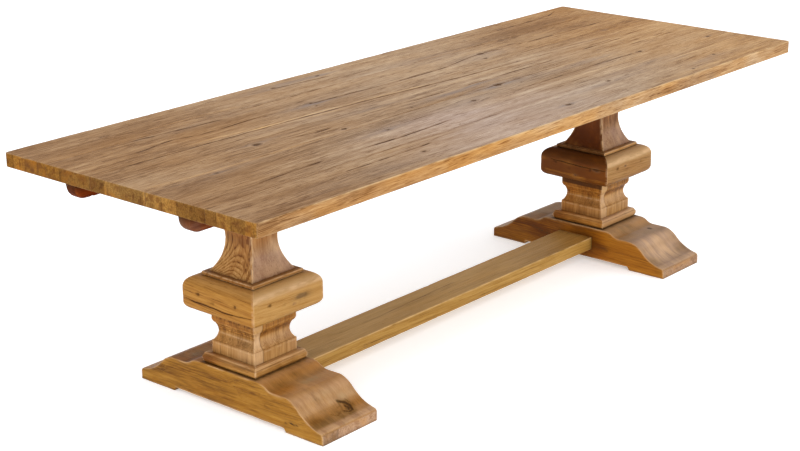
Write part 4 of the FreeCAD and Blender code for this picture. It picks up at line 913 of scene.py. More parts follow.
def foot_top(y):
    a = np.abs(y)
    pts = [(0, 125), (125, 125)] + arc((125, 125), (154, 116), 51.3, -1, 9)[1:]
    pts += arc((154, 116), (183, 107), 51.3, 1, 9)[1:]
    pts += [(232, 107)] + arc((232, 107), (280, 82), 81, -1, 14)[1:]
    pts += arc((280, 82), (360, 38), 155, 1, 20)[1:]
    pts += [(360 + 13 * math.sin(t), 25 + 13 * math.cos(t)) for t in np.linspace(0.10, math.pi / 2, 16)]
    pts = np.array(pts)
    return np.interp(a, pts[:, 0], pts[:, 1])


def foot_low(y):
    a = np.abs(y)
    z = np.interp(a, [0, 221, 222.5, 229, 230.5, 371.5], [12, 12, 11.6, 0.6, 0, 0])
    end = np.clip(a - 371.5, 0, 1.5)
    return z + (1.5 - np.sqrt(np.maximum(1.5 ** 2 - end ** 2, 0)))


def recesses(x, y, z, holes):
    """Round recesses up into an underside: (x, y, radius, its upper end)."""
    for hx, hy, r, up in holes:
        dx, dy = x - hx, y - hy
        m = np.maximum(np.abs(dx), np.abs(dy))
        e = np.hypot(dx, dy)
        k = np.where(e > 1e-9, m / np.maximum(e, 1e-9), 1.0)
        blend = 1 - smooth(m, r * 1.05, r * 1.9)
        low = z < 20
        f = np.where(low, 1 + (k - 1) * blend, 1.0)
        x, y = hx + dx * f, hy + dy * f
        z = np.where(low & (m < r - 0.04), up, z)
    return x, y, z


FOOT_SPLITS = {  # on the outer side: (y, z) points, width, depth, reach
    "left": [([(-373, 34), (-280, 36), (-250, 35), (-224, 30), (-190, 28), (373, 24)], 0.6, 3.0, (-300, -205))],
    "right": [([(-373, 24), (-200, 50), (0, 60), (200, 52), (373, 24)], 2.2, 3.0, (-160, 90)),
              ([(-373, 24), (-200, 24), (0, 30), (200, 82), (373, 24)], 1.8, 2.4, (60, 220))],
}


FOOT_LINES = [  # darker lines of figure on the outer side of the left foot: (y, z) points, reach, strength
    ([(330, 66), (252, 72), (190, 80), (136, 88), (79, 93), (42, 94), (-4, 95), (-35, 87), (-71, 84), (-131, 89)], 4.5, 0.75),
    ([(-4, 95), (-18, 99), (-60, 101)], 4.0, 0.5), ([(-40, 84), (-50, 68), (-61, 55), (-80, 50)], 3.5, 0.4),
    ([(-165, 99), (-191, 92), (-225, 89), (-251, 86), (-285, 72)], 4.0, 0.6), ([(-150, 62), (-190, 58), (-224, 56), (-280, 53)], 4.5, 0.5),
    ([(124, 40), (82, 45), (27, 40), (-29, 38), (-80, 34), (-150, 30), (-215, 27)], 6.0, 0.65),
    ([(340, 44), (280, 52), (200, 60), (120, 66), (60, 66)], 5.0, 0.3), ([(60, 52), (0, 60), (-60, 72), (-120, 74)], 4.0, 0.25),
]


def stroke(x, y, line, reach):
    """1 on a line through the points, falling to 0 at reach away from it."""
    best = np.full(len(x), 1e9)
    for (ax, ay), (bx, by) in zip(line[:-1], line[1:]):
        dx, dy = bx - ax, by - ay
        t = np.clip(((x - ax) * dx + (y - ay) * dy) / (dx * dx + dy * dy), 0, 1)
        best = np.minimum(best, np.hypot(x - ax - t * dx, y - ay - t * dy))
    return np.clip(1 - best / reach, 0, 1)


KNOT_STROKES = [  # on the front end of the left foot: points (x, y), reach, strength
    ([(30, -296), (50, -307), (57, -320), (52, -334)], 6.5, 1.0),
    ([(52, -334), (38, -338), (24, -328)], 5.0, 0.75),
    ([(40, -316), (47, -324), (42, -330)], 5.0, 0.85),
    ([(12, -326), (-8, -333), (-24, -322)], 4.5, 0.55),
    ([(60, -300), (66, -312)], 4.5, 0.7), ([(70, -318), (72, -328)], 4.5, 0.5),
    ([(10, -312), (26, -310)], 4.0, 0.5), ([(30, -344), (34, -352)], 4.5, 0.6), ([(2, -346), (-2, -353)], 4.5, 0.6),
]


def foot(side):
    s = -1 if side == "left" else 1
    lines = [0.0, 22.9, 23.0, 30.0, 36.0]
    peg = 92.0 * (-s)
    also_x = [v * k for v in lines for k in (1, -1)] + [peg + d for d in (-9, -6.1, -6.04, -3, 0, 3, 6.04, 6.1, 9)]
    also_y = [v * k for v in lines for k in (1, -1)]
    also_y += [k * 30 + d for k in (1, -1) for d in (-9, -6.1, -6.04, -3, 0, 3, 6.04, 6.1, 9)]
    also_y += [k * v for k in (1, -1) for v in (125, 130, 135, 154, 183, 232, 222, 230, 221, 222.5, 229, 230.5, 371.5,
                                               371.9, 372.3, 372.7, 360, 361, 362.2, 363.5, 365, 366.3, 367.5, 368.7, 369.8, 370.8)]
    widths = run(-FOOT_W, FOOT_W, 3.8, also=also_x)
    along = run(-FOOT_HALF, FOOT_HALF, 3.8, (0.3, 0.7, 1.4, 2.4, 4.0, 6.0), (0.3, 0.7, 1.4, 2.4, 4.0, 6.0), also=also_y)
    rows = run(0, 1, 0.030, (0.008, 0.018, 0.032, 0.055), (0.008, 0.018, 0.032, 0.055, 0.08))
    b, y, z, b0, y0, z0, faces, wear_and_sheen = slab(along, widths, rows, foot_low, foot_top, FOOT_W, 4.2, 400 + (s > 0))
    x = b
    x, y, z = recesses(x, y, z, [(0, 0, 23, 42), (peg, 30, 6.1, 14.1), (peg, -30, 6.1, 14.1)])
    n = len(x)
    outer = np.abs(b0 - (-FOOT_W if side == "left" else -FOOT_W)) < 0.01
    wear_and_sheen = wear_and_sheen * 0.72
    crack = np.zeros(n)
    sunk = np.zeros(n)
    beside = np.zeros(n)
    for k, (line, width, depth, (start, end)) in enumerate(FOOT_SPLITS[side]):
        zc = np.interp(y0, [c[0] for c in line], [c[1] for c in line])
        zc = zc + (line_noise(y0 / 40.0, 500 + k + 10 * (s > 0)) - 0.5) * 7 + (line_noise(y0 / 9.0, 520 + k) - 0.5) * 1.6
        on = smooth(y0, start, start + 30) * (1 - smooth(y0, end - 30, end)) * np.where(outer, 1.0, 0.0)
        vary = 0.66 + 0.55 * smooth(line_noise(y0 / 22.0, 540 + k), 0.2, 0.6)
        crack = np.maximum(crack, on * vary * (1 - np.clip(np.abs(z0 - zc) / (3.8 + width), 0, 1)))
        beside = beside + on * np.exp(-((z0 - zc) / 10.0) ** 2)
        sunk = sunk + on * depth * 0.35 * np.exp(-((z0 - zc) / 2.4) ** 2)
    p = np.stack([x, y, z], 1)
    nn = vertex_normals(p, faces)
    p = p - nn * sunk[:, None]
    hold = 1 - smooth(-nn[:, 2], 0.6, 0.9)
    p, normal = roughen(p, faces, 0.7, np.array([30.0, 46.0, 26.0]), 410 + (s > 0), hold)
    # painted shade where the base moulding stands, in the hollow of the ends, low down on the sides and where the
    # stretcher meets the inner side
    m = np.maximum(np.abs(x), np.abs(y)) - 107.0
    upward = smooth(nn[:, 2], 0.4, 0.9)
    grime_and_shade = upward * np.where(m > -6, np.exp(-(np.clip(m, 0, None) / 8.0) ** 1.4), 0.0) * 0.85
    grime_and_shade = grime_and_shade + upward * 0.25 * np.exp(-((np.abs(y) - 172) / 12.0) ** 2)
    grime_and_shade = grime_and_shade + 0.45 * smooth(z, 10, 0) * (1 - upward)
    joint = np.maximum(np.abs(y) - 70, np.abs(z - 67.5) - 22.5)
    grime_and_shade = grime_and_shade + 0.6 * np.where((b0 * (-s) > FOOT_W - 1), np.exp(-np.clip(joint, 0, None) / 5.0), 0) * (joint > -2)
    # a knot and a greenish grey stain on the front end of the left foot
    halo, knot, flow = np.zeros(n), np.zeros(n), x.copy()
    if side == "left":
        spots = [(41, -322, 9, 1.3, 0.42), (-70, 305, 8, 1.4, 0.8)]
        stains = [(36, -196, 46, 14, 0.55), (60, -290, 40, 10, 0.55), (20, -270, 40, 10, 0.30), (-30, 200, 50, 18, 0.4)]
        browns = [(-60, -334, 70, 22, 0.26), (20, -350, 60, 16, 0.16), (-70, -160, 62, 15, 0.30), (30, -150, 40, 9, 0.18),
                  (-20, 300, 70, 30, 0.2)]
    else:
        spots = [(60, -200, 8, 1.5, 0.8), (-50, 290, 9, 1.4, 0.9)]
        stains = [(30, -215, 60, 26, 0.30), (-40, -150, 60, 20, 0.22), (0, 250, 60, 40, 0.25)]
        browns = [(-20, -150, 60, 18, 0.22), (40, -340, 60, 24, 0.16), (-117, -150, 24, 60, 0.1)]
    for kx, ky, radius, stretch, strength in spots:
        dx, dy = x - kx, (y - ky) / stretch
        rho = np.sqrt(dx * dx + dy * dy + ((z - foot_top(np.full(1, ky))[0]) / 1.4) ** 2 * 0.4)
        flow = flow - dx * strength * radius ** 2 * 1.5 / np.maximum(rho, radius * 1.05) ** 2
        knot = np.maximum(knot, strength * np.clip(1 - rho / (2.2 * radius), 0, 1))
    cloud = fbm(np.stack([x / 22, y / 50, z / 22], 1), 3, 33)
    for px, py, rx, ry, strength in stains:
        halo = halo + strength * np.exp(-((x - px) / rx) ** 2 - ((y - py) / ry) ** 2)
    halo = np.clip(halo * (0.2 + 1.4 * cloud), 0, 1) * upward
    tn = toned(n, 0.04 if side == "left" else 0.10, 0.10, 0.0)
    for px, py, rx, ry, strength in browns:
        tn[:, 0] += strength * upward * np.exp(-((x - px) / rx) ** 2 - ((y - py) / ry) ** 2) * (0.5 + cloud)
    tn[:, 2] -= 0.30 * upward
    tn[:, 0] += 0.24 * beside
    if side == "left":
        for line, reach, strength in KNOT_STROKES:
            crack = np.maximum(crack, upward * np.clip(1.25 * strength * stroke(x, y, line, reach * 1.5), 0, 1))
        # swirls of darker grain round the knot
        rho = np.hypot((x - 42) / 1.0, (y + 322) / 1.25)
        swirl = 0.5 + 0.5 * np.sin(rho / 2.6 + 1.5 * np.sin(np.arctan2(y + 322, x - 42) * 3))
        tn[:, 0] += 0.30 * swirl * np.exp(-((rho - 14) / 14.0) ** 2) * upward
    # painted highlights, pinker and paler where the nose rounds over and on the swell above it; painted shade, browner
    # in the hollows
    ay = np.abs(y0)
    nose = smooth(ay, 344, 356) * (0.5 + 0.8 * cloud)
    tn[:, 0] -= 0.12 * nose * upward
    tn[:, 1] -= 0.30 * nose
    swell_sheen = smooth(ay, 232, 262) * (1 - smooth(ay, 290, 303))
    if side == "left":
        swell_sheen = swell_sheen * (1 - 0.75 * (y0 > 0))
        tn[:, 0] += upward * (0.22 * (y0 > 0) - 0.07 * (y0 < 0))
        tn[:, 1] += 0.50 * upward * (y0 > 0)
    soft = fbm(np.stack([x / 30, y / 24, z / 24], 1), 3, 34) - 0.5
    wear_and_sheen = np.maximum(wear_and_sheen, upward * np.clip(0.34 * swell_sheen * (0.45 + 0.9 * cloud) + 0.40 * nose, 0, 1))
    tn[:, 0] -= upward * (0.16 * swell_sheen + 0.16 * nose + 0.42 * soft)
    tn[:, 1] -= upward * (0.85 * swell_sheen + 0.95 * nose)
    # painted shade bands: in the hollow behind the nose, and across the top near the moulding
    hollow = np.exp(-((ay - 320) / 12.0) ** 2) * (0.45 + 0.55 * smooth(np.abs(x + 15), 20, 75))
    shade_band = np.exp(-((ay - 188) / 24.0) ** 2) * smooth(-x, 5, 60) + 0.5 * np.exp(-((ay - 152) / 16.0) ** 2)
    tn[:, 0] += upward * (0.24 * hollow + 0.24 * shade_band)
    tn[:, 1] += upward * (0.70 * hollow + 0.85 * shade_band)
    if side == "left":
        # darker figure low on the outer side, lighter towards the middle
        figure = fbm(np.stack([x * 0, y / 90, z / 20], 1), 3, 37)
        tn[:, 0] += outer * (0.07 - 0.09 * smooth(-y, -60, 60) + 0.40 * (figure - 0.5) + 0.10 * smooth(z, 40, 16) * np.exp(-((y + 20) / 170.0) ** 2))
        tn[:, 0] += outer * 0.34 * np.exp(-((y - 30) / 50.0) ** 2 - ((z - 18) / 8.0) ** 2) * (0.4 + 1.1 * cloud)
        wavy = z + (line_noise(y / 26.0, 45) - 0.5) * 5
        for line, reach, strength in FOOT_LINES:
            on = strength * stroke(y, wavy, line, reach * 0.8) * (0.35 + 0.9 * line_noise(y / 17.0 + line[0][1], 46))
            tn[:, 0] += outer * 0.50 * on
            tn[:, 1] += outer * 0.35 * on
        ripple = np.sin((z - 0.10 * y + 7.0 * np.sin(y / 47.0)) / 2.9 + 2.2 * line_noise(y / 60.0, 39))
        tn[:, 0] += outer * 0.10 * ripple * smooth(figure, 0.42, 0.60)
        # the front end is glued up from strips of differing tone
        end = smooth(-nn[:, 1], 0.7, 0.95)
        tn[:, 0] += end * (0.04 + 0.12 * (x < -48) - 0.08 * (x > -44))
        tn[:, 0] += upward * (0.10 * (y0 < -300) - 0.04 * (y0 > -230) * (y0 < 0))
    else:
        # the far foot's outer side: lighter high up near the middle, then darker and warmer all over, less towards the
        # front: painted shade
        tn[:, 0] -= 0.30 * outer * np.exp(-((y - 37) / 26.0) ** 2 - ((z - 102) / 14.0) ** 2)
        tn[:, 0] += outer * (0.38 - 0.44 * smooth(-y, 70, 150))
        tn[:, 1] += outer * (1.00 - 0.25 * smooth(-y, 70, 150))
        # its top: lighter between 105 and 240 in front of the middle, and pinker towards the front
        tn[:, 0] -= 0.30 * upward * smooth(-y, 105, 130) * (1 - smooth(-y, 205, 240))
        tn[:, 1] -= 0.80 * upward * (y0 < -180)
        # a spot of painted sheen on the top near the front end
        sheen_spot = upward * np.exp(-((x + 13) / 84.0) ** 4 - ((y + 290) / 52.0) ** 4) * (0.55 + 0.6 * cloud)
        tn[:, 0] -= 0.50 * sheen_spot
        tn[:, 1] -= 0.80 * sheen_spot
        wear_and_sheen = np.maximum(wear_and_sheen, 0.62 * sheen_spot)
    pith = (24, -46) if side == "left" else (-30, 186)
    level = z - 0.86 * (foot_top(y0) - 125.0) * smooth(nn[:, 2], 0.30, 0.62)
    gp = grained(y, flow, level, pith, 420 + (s > 0), (0.02, 0.05 if side == "left" else -0.04), 0.006)
    eg = smooth(np.abs(normal[:, 1]), 0.80, 0.97)
    p[:, 0] += PED * s
    # the veil mark: upward faces greyer and paler, partly greying and partly painted sheen, less on the back half of
    # the left foot
    marks = {
        "gp": gp, "mk": np.stack([knot, crack, halo], 1), "sf": packed(grime_and_shade, wear_and_sheen, smooth(normal[:, 2], 0.25, 0.9) * (1 - 0.6 * (y0 > 0) * (side == "left"))),
        "tn": tn, "eg": np.stack([eg * 0.62, eg, eg], 1),
    }
    make(side + "_sledge_foot", p, faces, marks, "frame", FOOT if side == "left" else FOOT_FAR,
         side + "_foot")


def runner(side, place):
    s = -1 if side == "left" else 1
    yc = -224.0 if place == "front" else 224.0
    nose, tail, low, high, arc_r = 1345.0, 300.0, 681.0, 727.5, 43.0

    def under(a):
        d = np.clip(a - (nose - arc_r), 0, arc_r)
        z = low + arc_r - np.sqrt(np.maximum(arc_r ** 2 - d ** 2, 0))
        return np.minimum(z, high - 3.0)

    def over(a):
        d = np.clip(a - (nose - 2.5), 0, 2.5)
        return high - (2.5 - np.sqrt(np.maximum(2.5 ** 2 - d ** 2, 0)))

    ends = [nose - arc_r + arc_r * math.sin(t) for t in np.linspace(0, math.pi / 2, 22)]
    along = run(tail, nose, 7.0, (0.5, 1.1, 2.4, 4.5, 7.5), (0.05, 0.2, 0.5, 1.0, 1.6, 2.5, 4.0, 6.0, 8.0), also=ends)
    widths = run(-23, 23, 4.2, (0.4, 1.0, 1.8, 2.8, 4.2, 6.0, 8.0), (0.4, 1.0, 1.8, 2.8, 4.2, 6.0, 8.0))
    rows = run(0, 1, 0.1, (0.012, 0.03, 0.055, 0.09, 0.13, 0.17), (0.012, 0.03, 0.055, 0.09, 0.13, 0.17))
    seed = 600 + (s > 0) * 2 + (place == "front")
    b, a, z, b0, a0, z0, faces, wear_and_sheen = slab(along, widths, rows, under, over, 23.0, 12.5, seed)
    n = len(a)
    # built along +y of the lattice: turn it so that it runs out along x
    p = np.stack([a, -b, z], 1)
    p, normal = roughen(p, faces, 0.35, np.array([24.0, 9.0, 9.0]), seed + 10)
    if s < 0:
        p[:, 0] *= -1
        normal[:, 0] *= -1
        faces = faces[:, ::-1]
    gp = grained(a, -b, z, (8, 655), seed + 20, (0.01, 0.02), 0.004)
    eg = smooth(np.abs(normal[:, 0]), 0.55, 0.9)
    p[:, 1] += yc
    # painted shadow along the top of the bar, under the table top
    grime_and_shade = 0.85 * smooth(z, 705, 727)
    worn = smooth(a, 1285, 1320) * (0.95 if place == "front" else 0.30) * (0.4 + 0.9 * fbm(np.stack([a / 16, b / 16, z / 16], 1), 2, 67))
    marks = {
        "gp": gp, "mk": np.zeros((n, 3)), "sf": packed(grime_and_shade, wear_and_sheen * 0.12, worn),
        "tn": toned(n, 0.04 if place == "front" else 0.22, -0.75 if place == "front" else 0.8, 0.0), "eg": np.stack([eg, eg, eg], 1),
    }
    name = "%s_%s_runner" % (side, place)
    make("%s_%s_pull_bar" % (side, place), p, faces, marks, name + "_body", RUNNER, name)


# ---------------------------------------------------------------- columns and necks
def column_line():
    line = [(88, 125), (88, 194), (86, 194)] + arc((86, 194), (80, 246), 44, -1, 16)[1:]
    line += arc((80, 246), (88, 264), 21, 1, 8)[1:] + [(88, 292)]
    return thicken(soften(line, 1.3, 4), 1.7)


def neck_line():
    line = arc((88.5, 407), (88.5, 608), 163, 1, 44)
    out = np.array(line)
    # the cove runs inwards from both ends
    mid = (407 + 608) / 2
    sag = 163 - math.sqrt(163 ** 2 - 100.5 ** 2)
    z = np.linspace(407, 608, 74)
    b = 88.5 - (np.sqrt(163 ** 2 - (z - mid) ** 2) - (163 - sag))
    return np.stack([b, z], 1)


def square_post(line, x_low, x_high, steps_x, steps_y, radius, seed):
    """Square section that follows the profile; x_low and x_high are None on a moulded side."""
    zs = line[:, 1]
    half = line[:, 0]
    ijk, faces = lattice(len(steps_x), len(steps_y), len(zs))
    s, t, k = steps_x[ijk[:, 0]], steps_y[ijk[:, 1]], ijk[:, 2]
    hb, z = half[k], zs[k]
    lo = -hb if x_low is None else np.full(len(hb), float(x_low))
    hi = hb if x_high is None else np.full(len(hb), float(x_high))
    x = lo + (hi - lo) * s
    y = hb * t
    r = radius * (0.55 + 0.95 * fbm(np.stack([x / 60, y / 60, z / 34], 1), 2, seed))
    r = r + radius * 0.9 * smooth(noise(np.stack([np.sign(x) * 3.1, np.sign(y) * 5.3, z / 13], 1), seed + 3), 0.80, 0.95)
    u, w = hb - np.abs(x), hb - np.abs(y)
    far = np.where(x > 0, x_high is None, x_low is None)
    a, b = pull_round(np.where(far, r - u, -1), r - w, r)
    moved = (np.where(far, r - u, -1) > 0) & (r - w > 0)
    nx = np.where(moved, np.sign(x) * (hb - (r - a)), x)
    ny = np.where(moved, np.sign(y) * (hb - (r - b)), y)
    wear_and_sheen = np.where(far, np.exp(-(np.maximum(u, w) / 4.0) ** 2), 0)
    return nx, ny, z, hb, faces, wear_and_sheen, (u, w)


def unit_steps(length, step, low=EDGE, high=EDGE):
    v = run(0, length, step, low, high)
    return v / length


def column(side):
    s = -1 if side == "left" else 1
    line = column_line()
    for place in ("left", "right"):
        if place == "left":
            sx = unit_steps(36, 4.0, EDGE[:5], FINE)
            low, high = None, -52.0
        else:
            sx = unit_steps(140, 4.2, FINE, EDGE)
            low, high = -52.0, None
        ty = unit_steps(176, 4.2) * 2 - 1
        seed = 700 + (s > 0) * 10 + (place == "right")
        x, y, z, hb, faces, wear_and_sheen, _ = square_post(line, low, high, sx, ty, 2.6, seed)
        n = len(x)
        # fine upright planing ridges and a small step at the glue line
        joint = np.abs(x + 52.0)
        cut = np.clip(1 - joint / 0.9, 0, 1) * 0.5
        y = y - np.sign(y) * np.where(np.abs(np.abs(y) - hb) < 1.2, cut, 0)
        if place == "left":
            y = y - np.sign(y) * 0.25
        # chatter of the cutter across the hollow, on the side away from the stretcher
        outer = (x < -hb + 1.5) & (place == "left")
        hollow = smooth(z, 196, 200) * (1 - smooth(z, 250, 258))
        shade = smooth(z, 224, 231) * (1 - smooth(z, 244, 249))
        wave = 0.5 + 0.5 * np.sin((z - 197) * 2 * math.pi / 6.8)
        x = x + np.where(outer, 0.7 * wave ** 2 * smooth(z, 222, 228) * hollow, 0)
        p = np.stack([x, y, z], 1)
        p, normal = roughen(p, faces, 0.55, np.array([11.0, 11.0, 60.0]), seed + 1)
        facing_y = np.clip(np.abs(normal[:, 1]), 0, 1)
        # lighter lines, partly worn edges and partly painted highlights: the top of the band and of the collar, and on
        # the outer side low on the bead and across the hollow
        lines = 0.38 * np.exp(-((z - 187.5) / 2.4) ** 2) + 0.50 * np.exp(-((z - 290) / 2.0) ** 2)
        lines = lines + 0.12 * np.exp(-((z - 252) / 2.4) ** 2) * outer + 0.40 * np.exp(-((z - 218) / 2.0) ** 2) * outer
        wear_and_sheen = np.maximum(wear_and_sheen, lines)
        # painted shade where the band stands on the base moulding and under the block, and a dark glue line at the
        # joint
        grime_and_shade = 0.50 * np.exp(-np.clip(z - 156, 0, None) / 3.2) + 0.22 * np.exp(-np.clip(292 - z, 0, None) / 1.5)
        grime_and_shade = grime_and_shade + 0.6 * np.clip(1 - joint / 1.4, 0, 1)
        # painted shade on the far column's outer collar
        if side == "right":
            grime_and_shade = grime_and_shade + 0.58 * outer * smooth(z, 262, 266)
        ticks = smooth(line_noise(y / 7.0 + 40, seed + 4), 0.50, 0.66) * smooth(z, 264, 268) * (1 - smooth(z, 288, 292))
        crack = (0.62 if side == "left" else 0.16) * ticks * outer * (0.4 + 0.6 * line_noise(z / 9.0 + np.floor(y / 8.0) * 3.3, 5))
        pith = (-150, 36) if place == "left" else (30, 170)
        gp = grained(z, x, y, pith, seed + 20, (0.03, 0.02), 0.004)
        eg = smooth(np.abs(normal[:, 2]), 0.75, 0.98)
        p[:, 0] += PED * s
        tn = toned(n, (0.0 if place == "left" else 0.08) + (0.02 if side == "right" else 0), 0.0, -0.08)
        dots = smooth(noise(np.stack([y / 5.2, np.floor((z - 195.3) / 6.8) * 7.1, y * 0], 1), seed + 6), 0.42, 0.66)
        flecks = line_noise(y / 6.5 + 10, seed + 8) - 0.5
        # painted shade in the upper part of the hollow on the outer side, with painted highlights along the cutter
        # marks
        tn[:, 0] += np.where(outer, 0.34 * shade - 0.52 * shade * wave ** 2 * dots, 0)
        tn[:, 0] += np.where(outer, 0.14 * flecks * (z < 226), 0)
        tn[:, 0] += np.where(outer, (0.55 if side == "left" else 0.18) * ticks, 0)
        tn[:, 1] += np.where(outer, 0.30 * shade, 0)
        tn[:, 2] -= 0.16
        # the collar on the outer side is darker and warmer; on the far column the outer side is warmer all over and the
        # collar much darker: painted shade
        collar = smooth(z, 262, 266)
        if side == "right":
            tn[:, 0] += 0.48 * collar * outer
            tn[:, 1] += outer * (0.50 + 0.50 * collar)
        tn[:, 0] += 0.20 * collar * outer
        tn[:, 1] += outer * (0.30 * collar + 0.70 * np.exp(-((z - 257) / 8.0) ** 2))
        # tone and warmth by height on the outer side and on the front and back: the wood's own tone mixed with painted
        # highlights and painted shade across the mouldings, such as the light band near z 218 on the left stave's front
        step = (158, 164, 172, 180, 188, 192, 200, 210, 218, 226, 234, 242, 250, 257, 264, 270, 278, 286, 291)
        if place == "left":
            at_x = (-0.10, 0.10, 0.06, 0.0, 0.0, 0.14, 0.26, 0.28, 0.10, 0.18, 0.10, 0.10, 0.10, 0.36, 0.20, 0.00, 0.16, 0.10, 0.0)
            tn[:, 0] += np.where(outer, np.interp(z, step, at_x), 0)
            at_y = (0.0, 0.24, 0.12, 0.06, 0.18, 0.24, 0.22, 0.0, -0.30, 0.05, 0.0, 0.34, 0.16, 0.18, -0.06, -0.10, 0.0, 0.0, 0.0)
            warm_y = (0, 0, 0, 0, 0, 0, 0, -0.3, -0.6, -0.3, 0, 0.5, 0.3, 0.3, 0, 0, 0, 0, 0)
        else:
            at_y = (-0.1, -0.02, 0.0, 0.0, 0.0, 0.06, -0.14, -0.18, -0.22, -0.16, 0.32, 0.60, 0.34, 0.12, 0.34, 0.26, -0.05, -0.12, -0.12)
            warm_y = (0, 0, 0, 0, 0, 0, -0.5, -0.6, -0.3, 0.1, 0.6, 0.9, 0.7, 0.3, 0.5, 0.4, 0, 0, -0.2)
        tn[:, 0] += facing_y * np.interp(z, step, at_y) * (0.7 + 0.6 * line_noise(x / 22.0, seed + 12))
        tn[:, 1] += facing_y * np.interp(z, step, warm_y)
        # the foot of the band is darker, most of all towards the back
        tn[:, 0] += np.where(outer, 0.16 * (1 - smooth(z, 158, 178)) + 0.20 * smooth(y, 0, 80) * (z < 196), 0)
        tn[:, 1] += np.where(outer, 0.35 * smooth(y, 0, 80), 0)
        if side == "left":
            tn[:, 0] -= 0.06 * outer * (z < 196) - 0.07 * facing_y * smooth(z, 196, 204) * (1 - smooth(z, 240, 250))
        light = facing_y * (place == "left")
        tn[:, 0] -= 0.30 * light + (0.06 * facing_y if place == "right" else 0)
        tn[:, 1] -= 0.50 * light
        wear_and_sheen = np.maximum(wear_and_sheen, light * (0.50 + 0.2 * (hollow > 0.5)) * (z < 262))
        wear_and_sheen = np.maximum(wear_and_sheen, light * 0.40)
        tn[:, 0] += 0.05 * np.sin(z * 0.05 + seed) - 0.07 * facing_y
        # the veil mark: upward faces (partly painted sheen), the hollow and the band, where it mostly calms the grain
        veil_and_sheen = np.maximum(smooth(normal[:, 2], 0.15, 0.85), 0.9 * facing_y * hollow * (z < 250))
        veil_and_sheen = np.maximum(veil_and_sheen, np.where(outer, 0.8 * hollow * (z < 224), 0))
        veil_and_sheen = np.maximum(veil_and_sheen, 0.95 * (1 - smooth(z, 192, 196)) * np.where(outer, 1.0, 0.8 * facing_y))
        marks = {
            "gp": gp, "mk": np.stack([crack * 0, crack, crack * 0], 1), "sf": packed(grime_and_shade, wear_and_sheen, veil_and_sheen),
            "tn": tn, "eg": np.stack([eg * 0.4, eg, eg], 1),
        }
        make("%s_column_%s_half" % (side, place), p, faces, marks, "frame", POST,
             "%s_column_stave_%s" % (side, place))


def neck(side):
    s = -1 if side == "left" else 1
    line = neck_line()
    ty = unit_steps(177, 4.0) * 2 - 1
    sx = unit_steps(177, 4.0)
    seed = 740 + (s > 0)
    x, y, z, hb, faces, wear_and_sheen, (u, w) = square_post(line, None, None, sx, ty, 2.8, seed)
    near = (x < 0) & (y < 0)
    wear_and_sheen = np.maximum(wear_and_sheen, np.where(near, 0.95 * np.exp(-(np.maximum(u, w) / 7.0) ** 2 - ((z - 476) / 46.0) ** 2), 0))
    n = len(x)
    p = np.stack([x, y, z], 1)
    p, normal = roughen(p, faces, 0.6, np.array([13.0, 13.0, 40.0]), seed + 1)
    # painted shade just above the lower plate and towards the upper plate
    grime_and_shade = 0.75 * np.exp(-np.clip(z - 407, 0, None) / 4.0) + 0.5 * smooth(z, 570, 608)
    pith = (6, -152) if side == "left" else (-60, 260)
    gp = grained(z, y, x, pith, seed + 20, (0.02, 0.02), 0.004)
    quiet = smooth(np.abs(normal[:, 1]), 0.5, 0.8)
    tn = toned(n, 0.0, 0.0, 0.0 if side == "left" else -0.35)
    tn[:, 2] -= (0.95 if side == "left" else 0.48) * quiet
    tn[:, 0] += 0.15 * quiet
    tn[:, 1] -= 0.14 * quiet * (side == "left")
    veil_and_sheen = 0.85 * quiet
    if side == "right":
        # painted shade on the far neck's outer side; its front and back faces a little darker and warmer too
        tn[:, 0] += 1.00 * (x < 0) * (1 - quiet) + 0.12 * quiet
        tn[:, 1] += 0.96 * (x < 0) * (1 - quiet) + 0.26 * quiet
        veil_and_sheen = 1.1 * quiet
    level = (407, 420, 445, 460, 475, 490, 505, 520, 560, 608)
    tn[:, 0] += quiet * np.interp(z, level, (-0.06, -0.06, -0.10, -0.10, 0.04, 0.22, 0.30, 0.28, 0.26, 0.26))
    tn[:, 1] += quiet * np.interp(z, level, (-0.5, -0.6, -0.8, -0.9, -0.2, 0.2, 0.5, 0.6, 0.5, 0.4))
    tn[:, 0] -= (0.55 if side == "left" else 0.28) * quiet * (fbm(np.stack([x / 20, y * 0, z / 46], 1), 3, seed + 35) - 0.5)
    veil_and_sheen = veil_and_sheen * (1 - 0.45 * smooth(z, 475, 520))
    if side == "left":
        loud = (1 - quiet) * (x < 0)
        upper = smooth(z, 500, 545)
        tn[:, 2] -= loud * np.clip(0.74 * upper + 0.46 * smooth(-y, 20, 46), 0, 0.82)
        tn[:, 0] += loud * np.interp(z, level, (0.0, 0.0, 0.05, 0.08, 0.16, 0.16, 0.36, 0.42, 0.32, 0.32))
        tn[:, 0] += loud * 0.16 * smooth(-y, 25, 50) * smooth(z, 435, 450)
        tn[:, 0] += 0.06 * loud
        tn[:, 1] += loud * (0.26 + 0.50 * upper)
        # dark upright flames above the arches, and torn grain towards the near corner
        flames = smooth(line_noise(y / 9.0 + 7, seed + 31), 0.50, 0.74) * smooth(z, 500, 545)
        torn = smooth(noise(np.stack([y / 5.0, z / 16.0, x * 0], 1), seed + 33), 0.52, 0.75) * smooth(-y, 14, 42)
        tn[:, 0] += loud * (0.46 * flames + 0.50 * torn * (z < 560))
        # a patch of painted sheen on the front face, towards the right
        sheen_spot = np.exp(-((y + 0) / 200) ** 2 - ((x - 42) / 26.0) ** 2 - ((z - 478) / 36.0) ** 2) * (y < 0)
        tn[:, 0] -= 0.30 * sheen_spot * quiet
        wear_and_sheen = np.maximum(wear_and_sheen, 0.45 * sheen_spot * quiet)
    p[:, 0] += PED * s
    marks = {
        "gp": gp, "mk": np.zeros((n, 3)), "sf": packed(grime_and_shade, wear_and_sheen * 1.3, veil_and_sheen), "tn": tn, "eg": np.zeros((n, 3)),
    }
    make(side + "_coved_neck", p, faces, marks, "frame", NECK, side + "_neck")


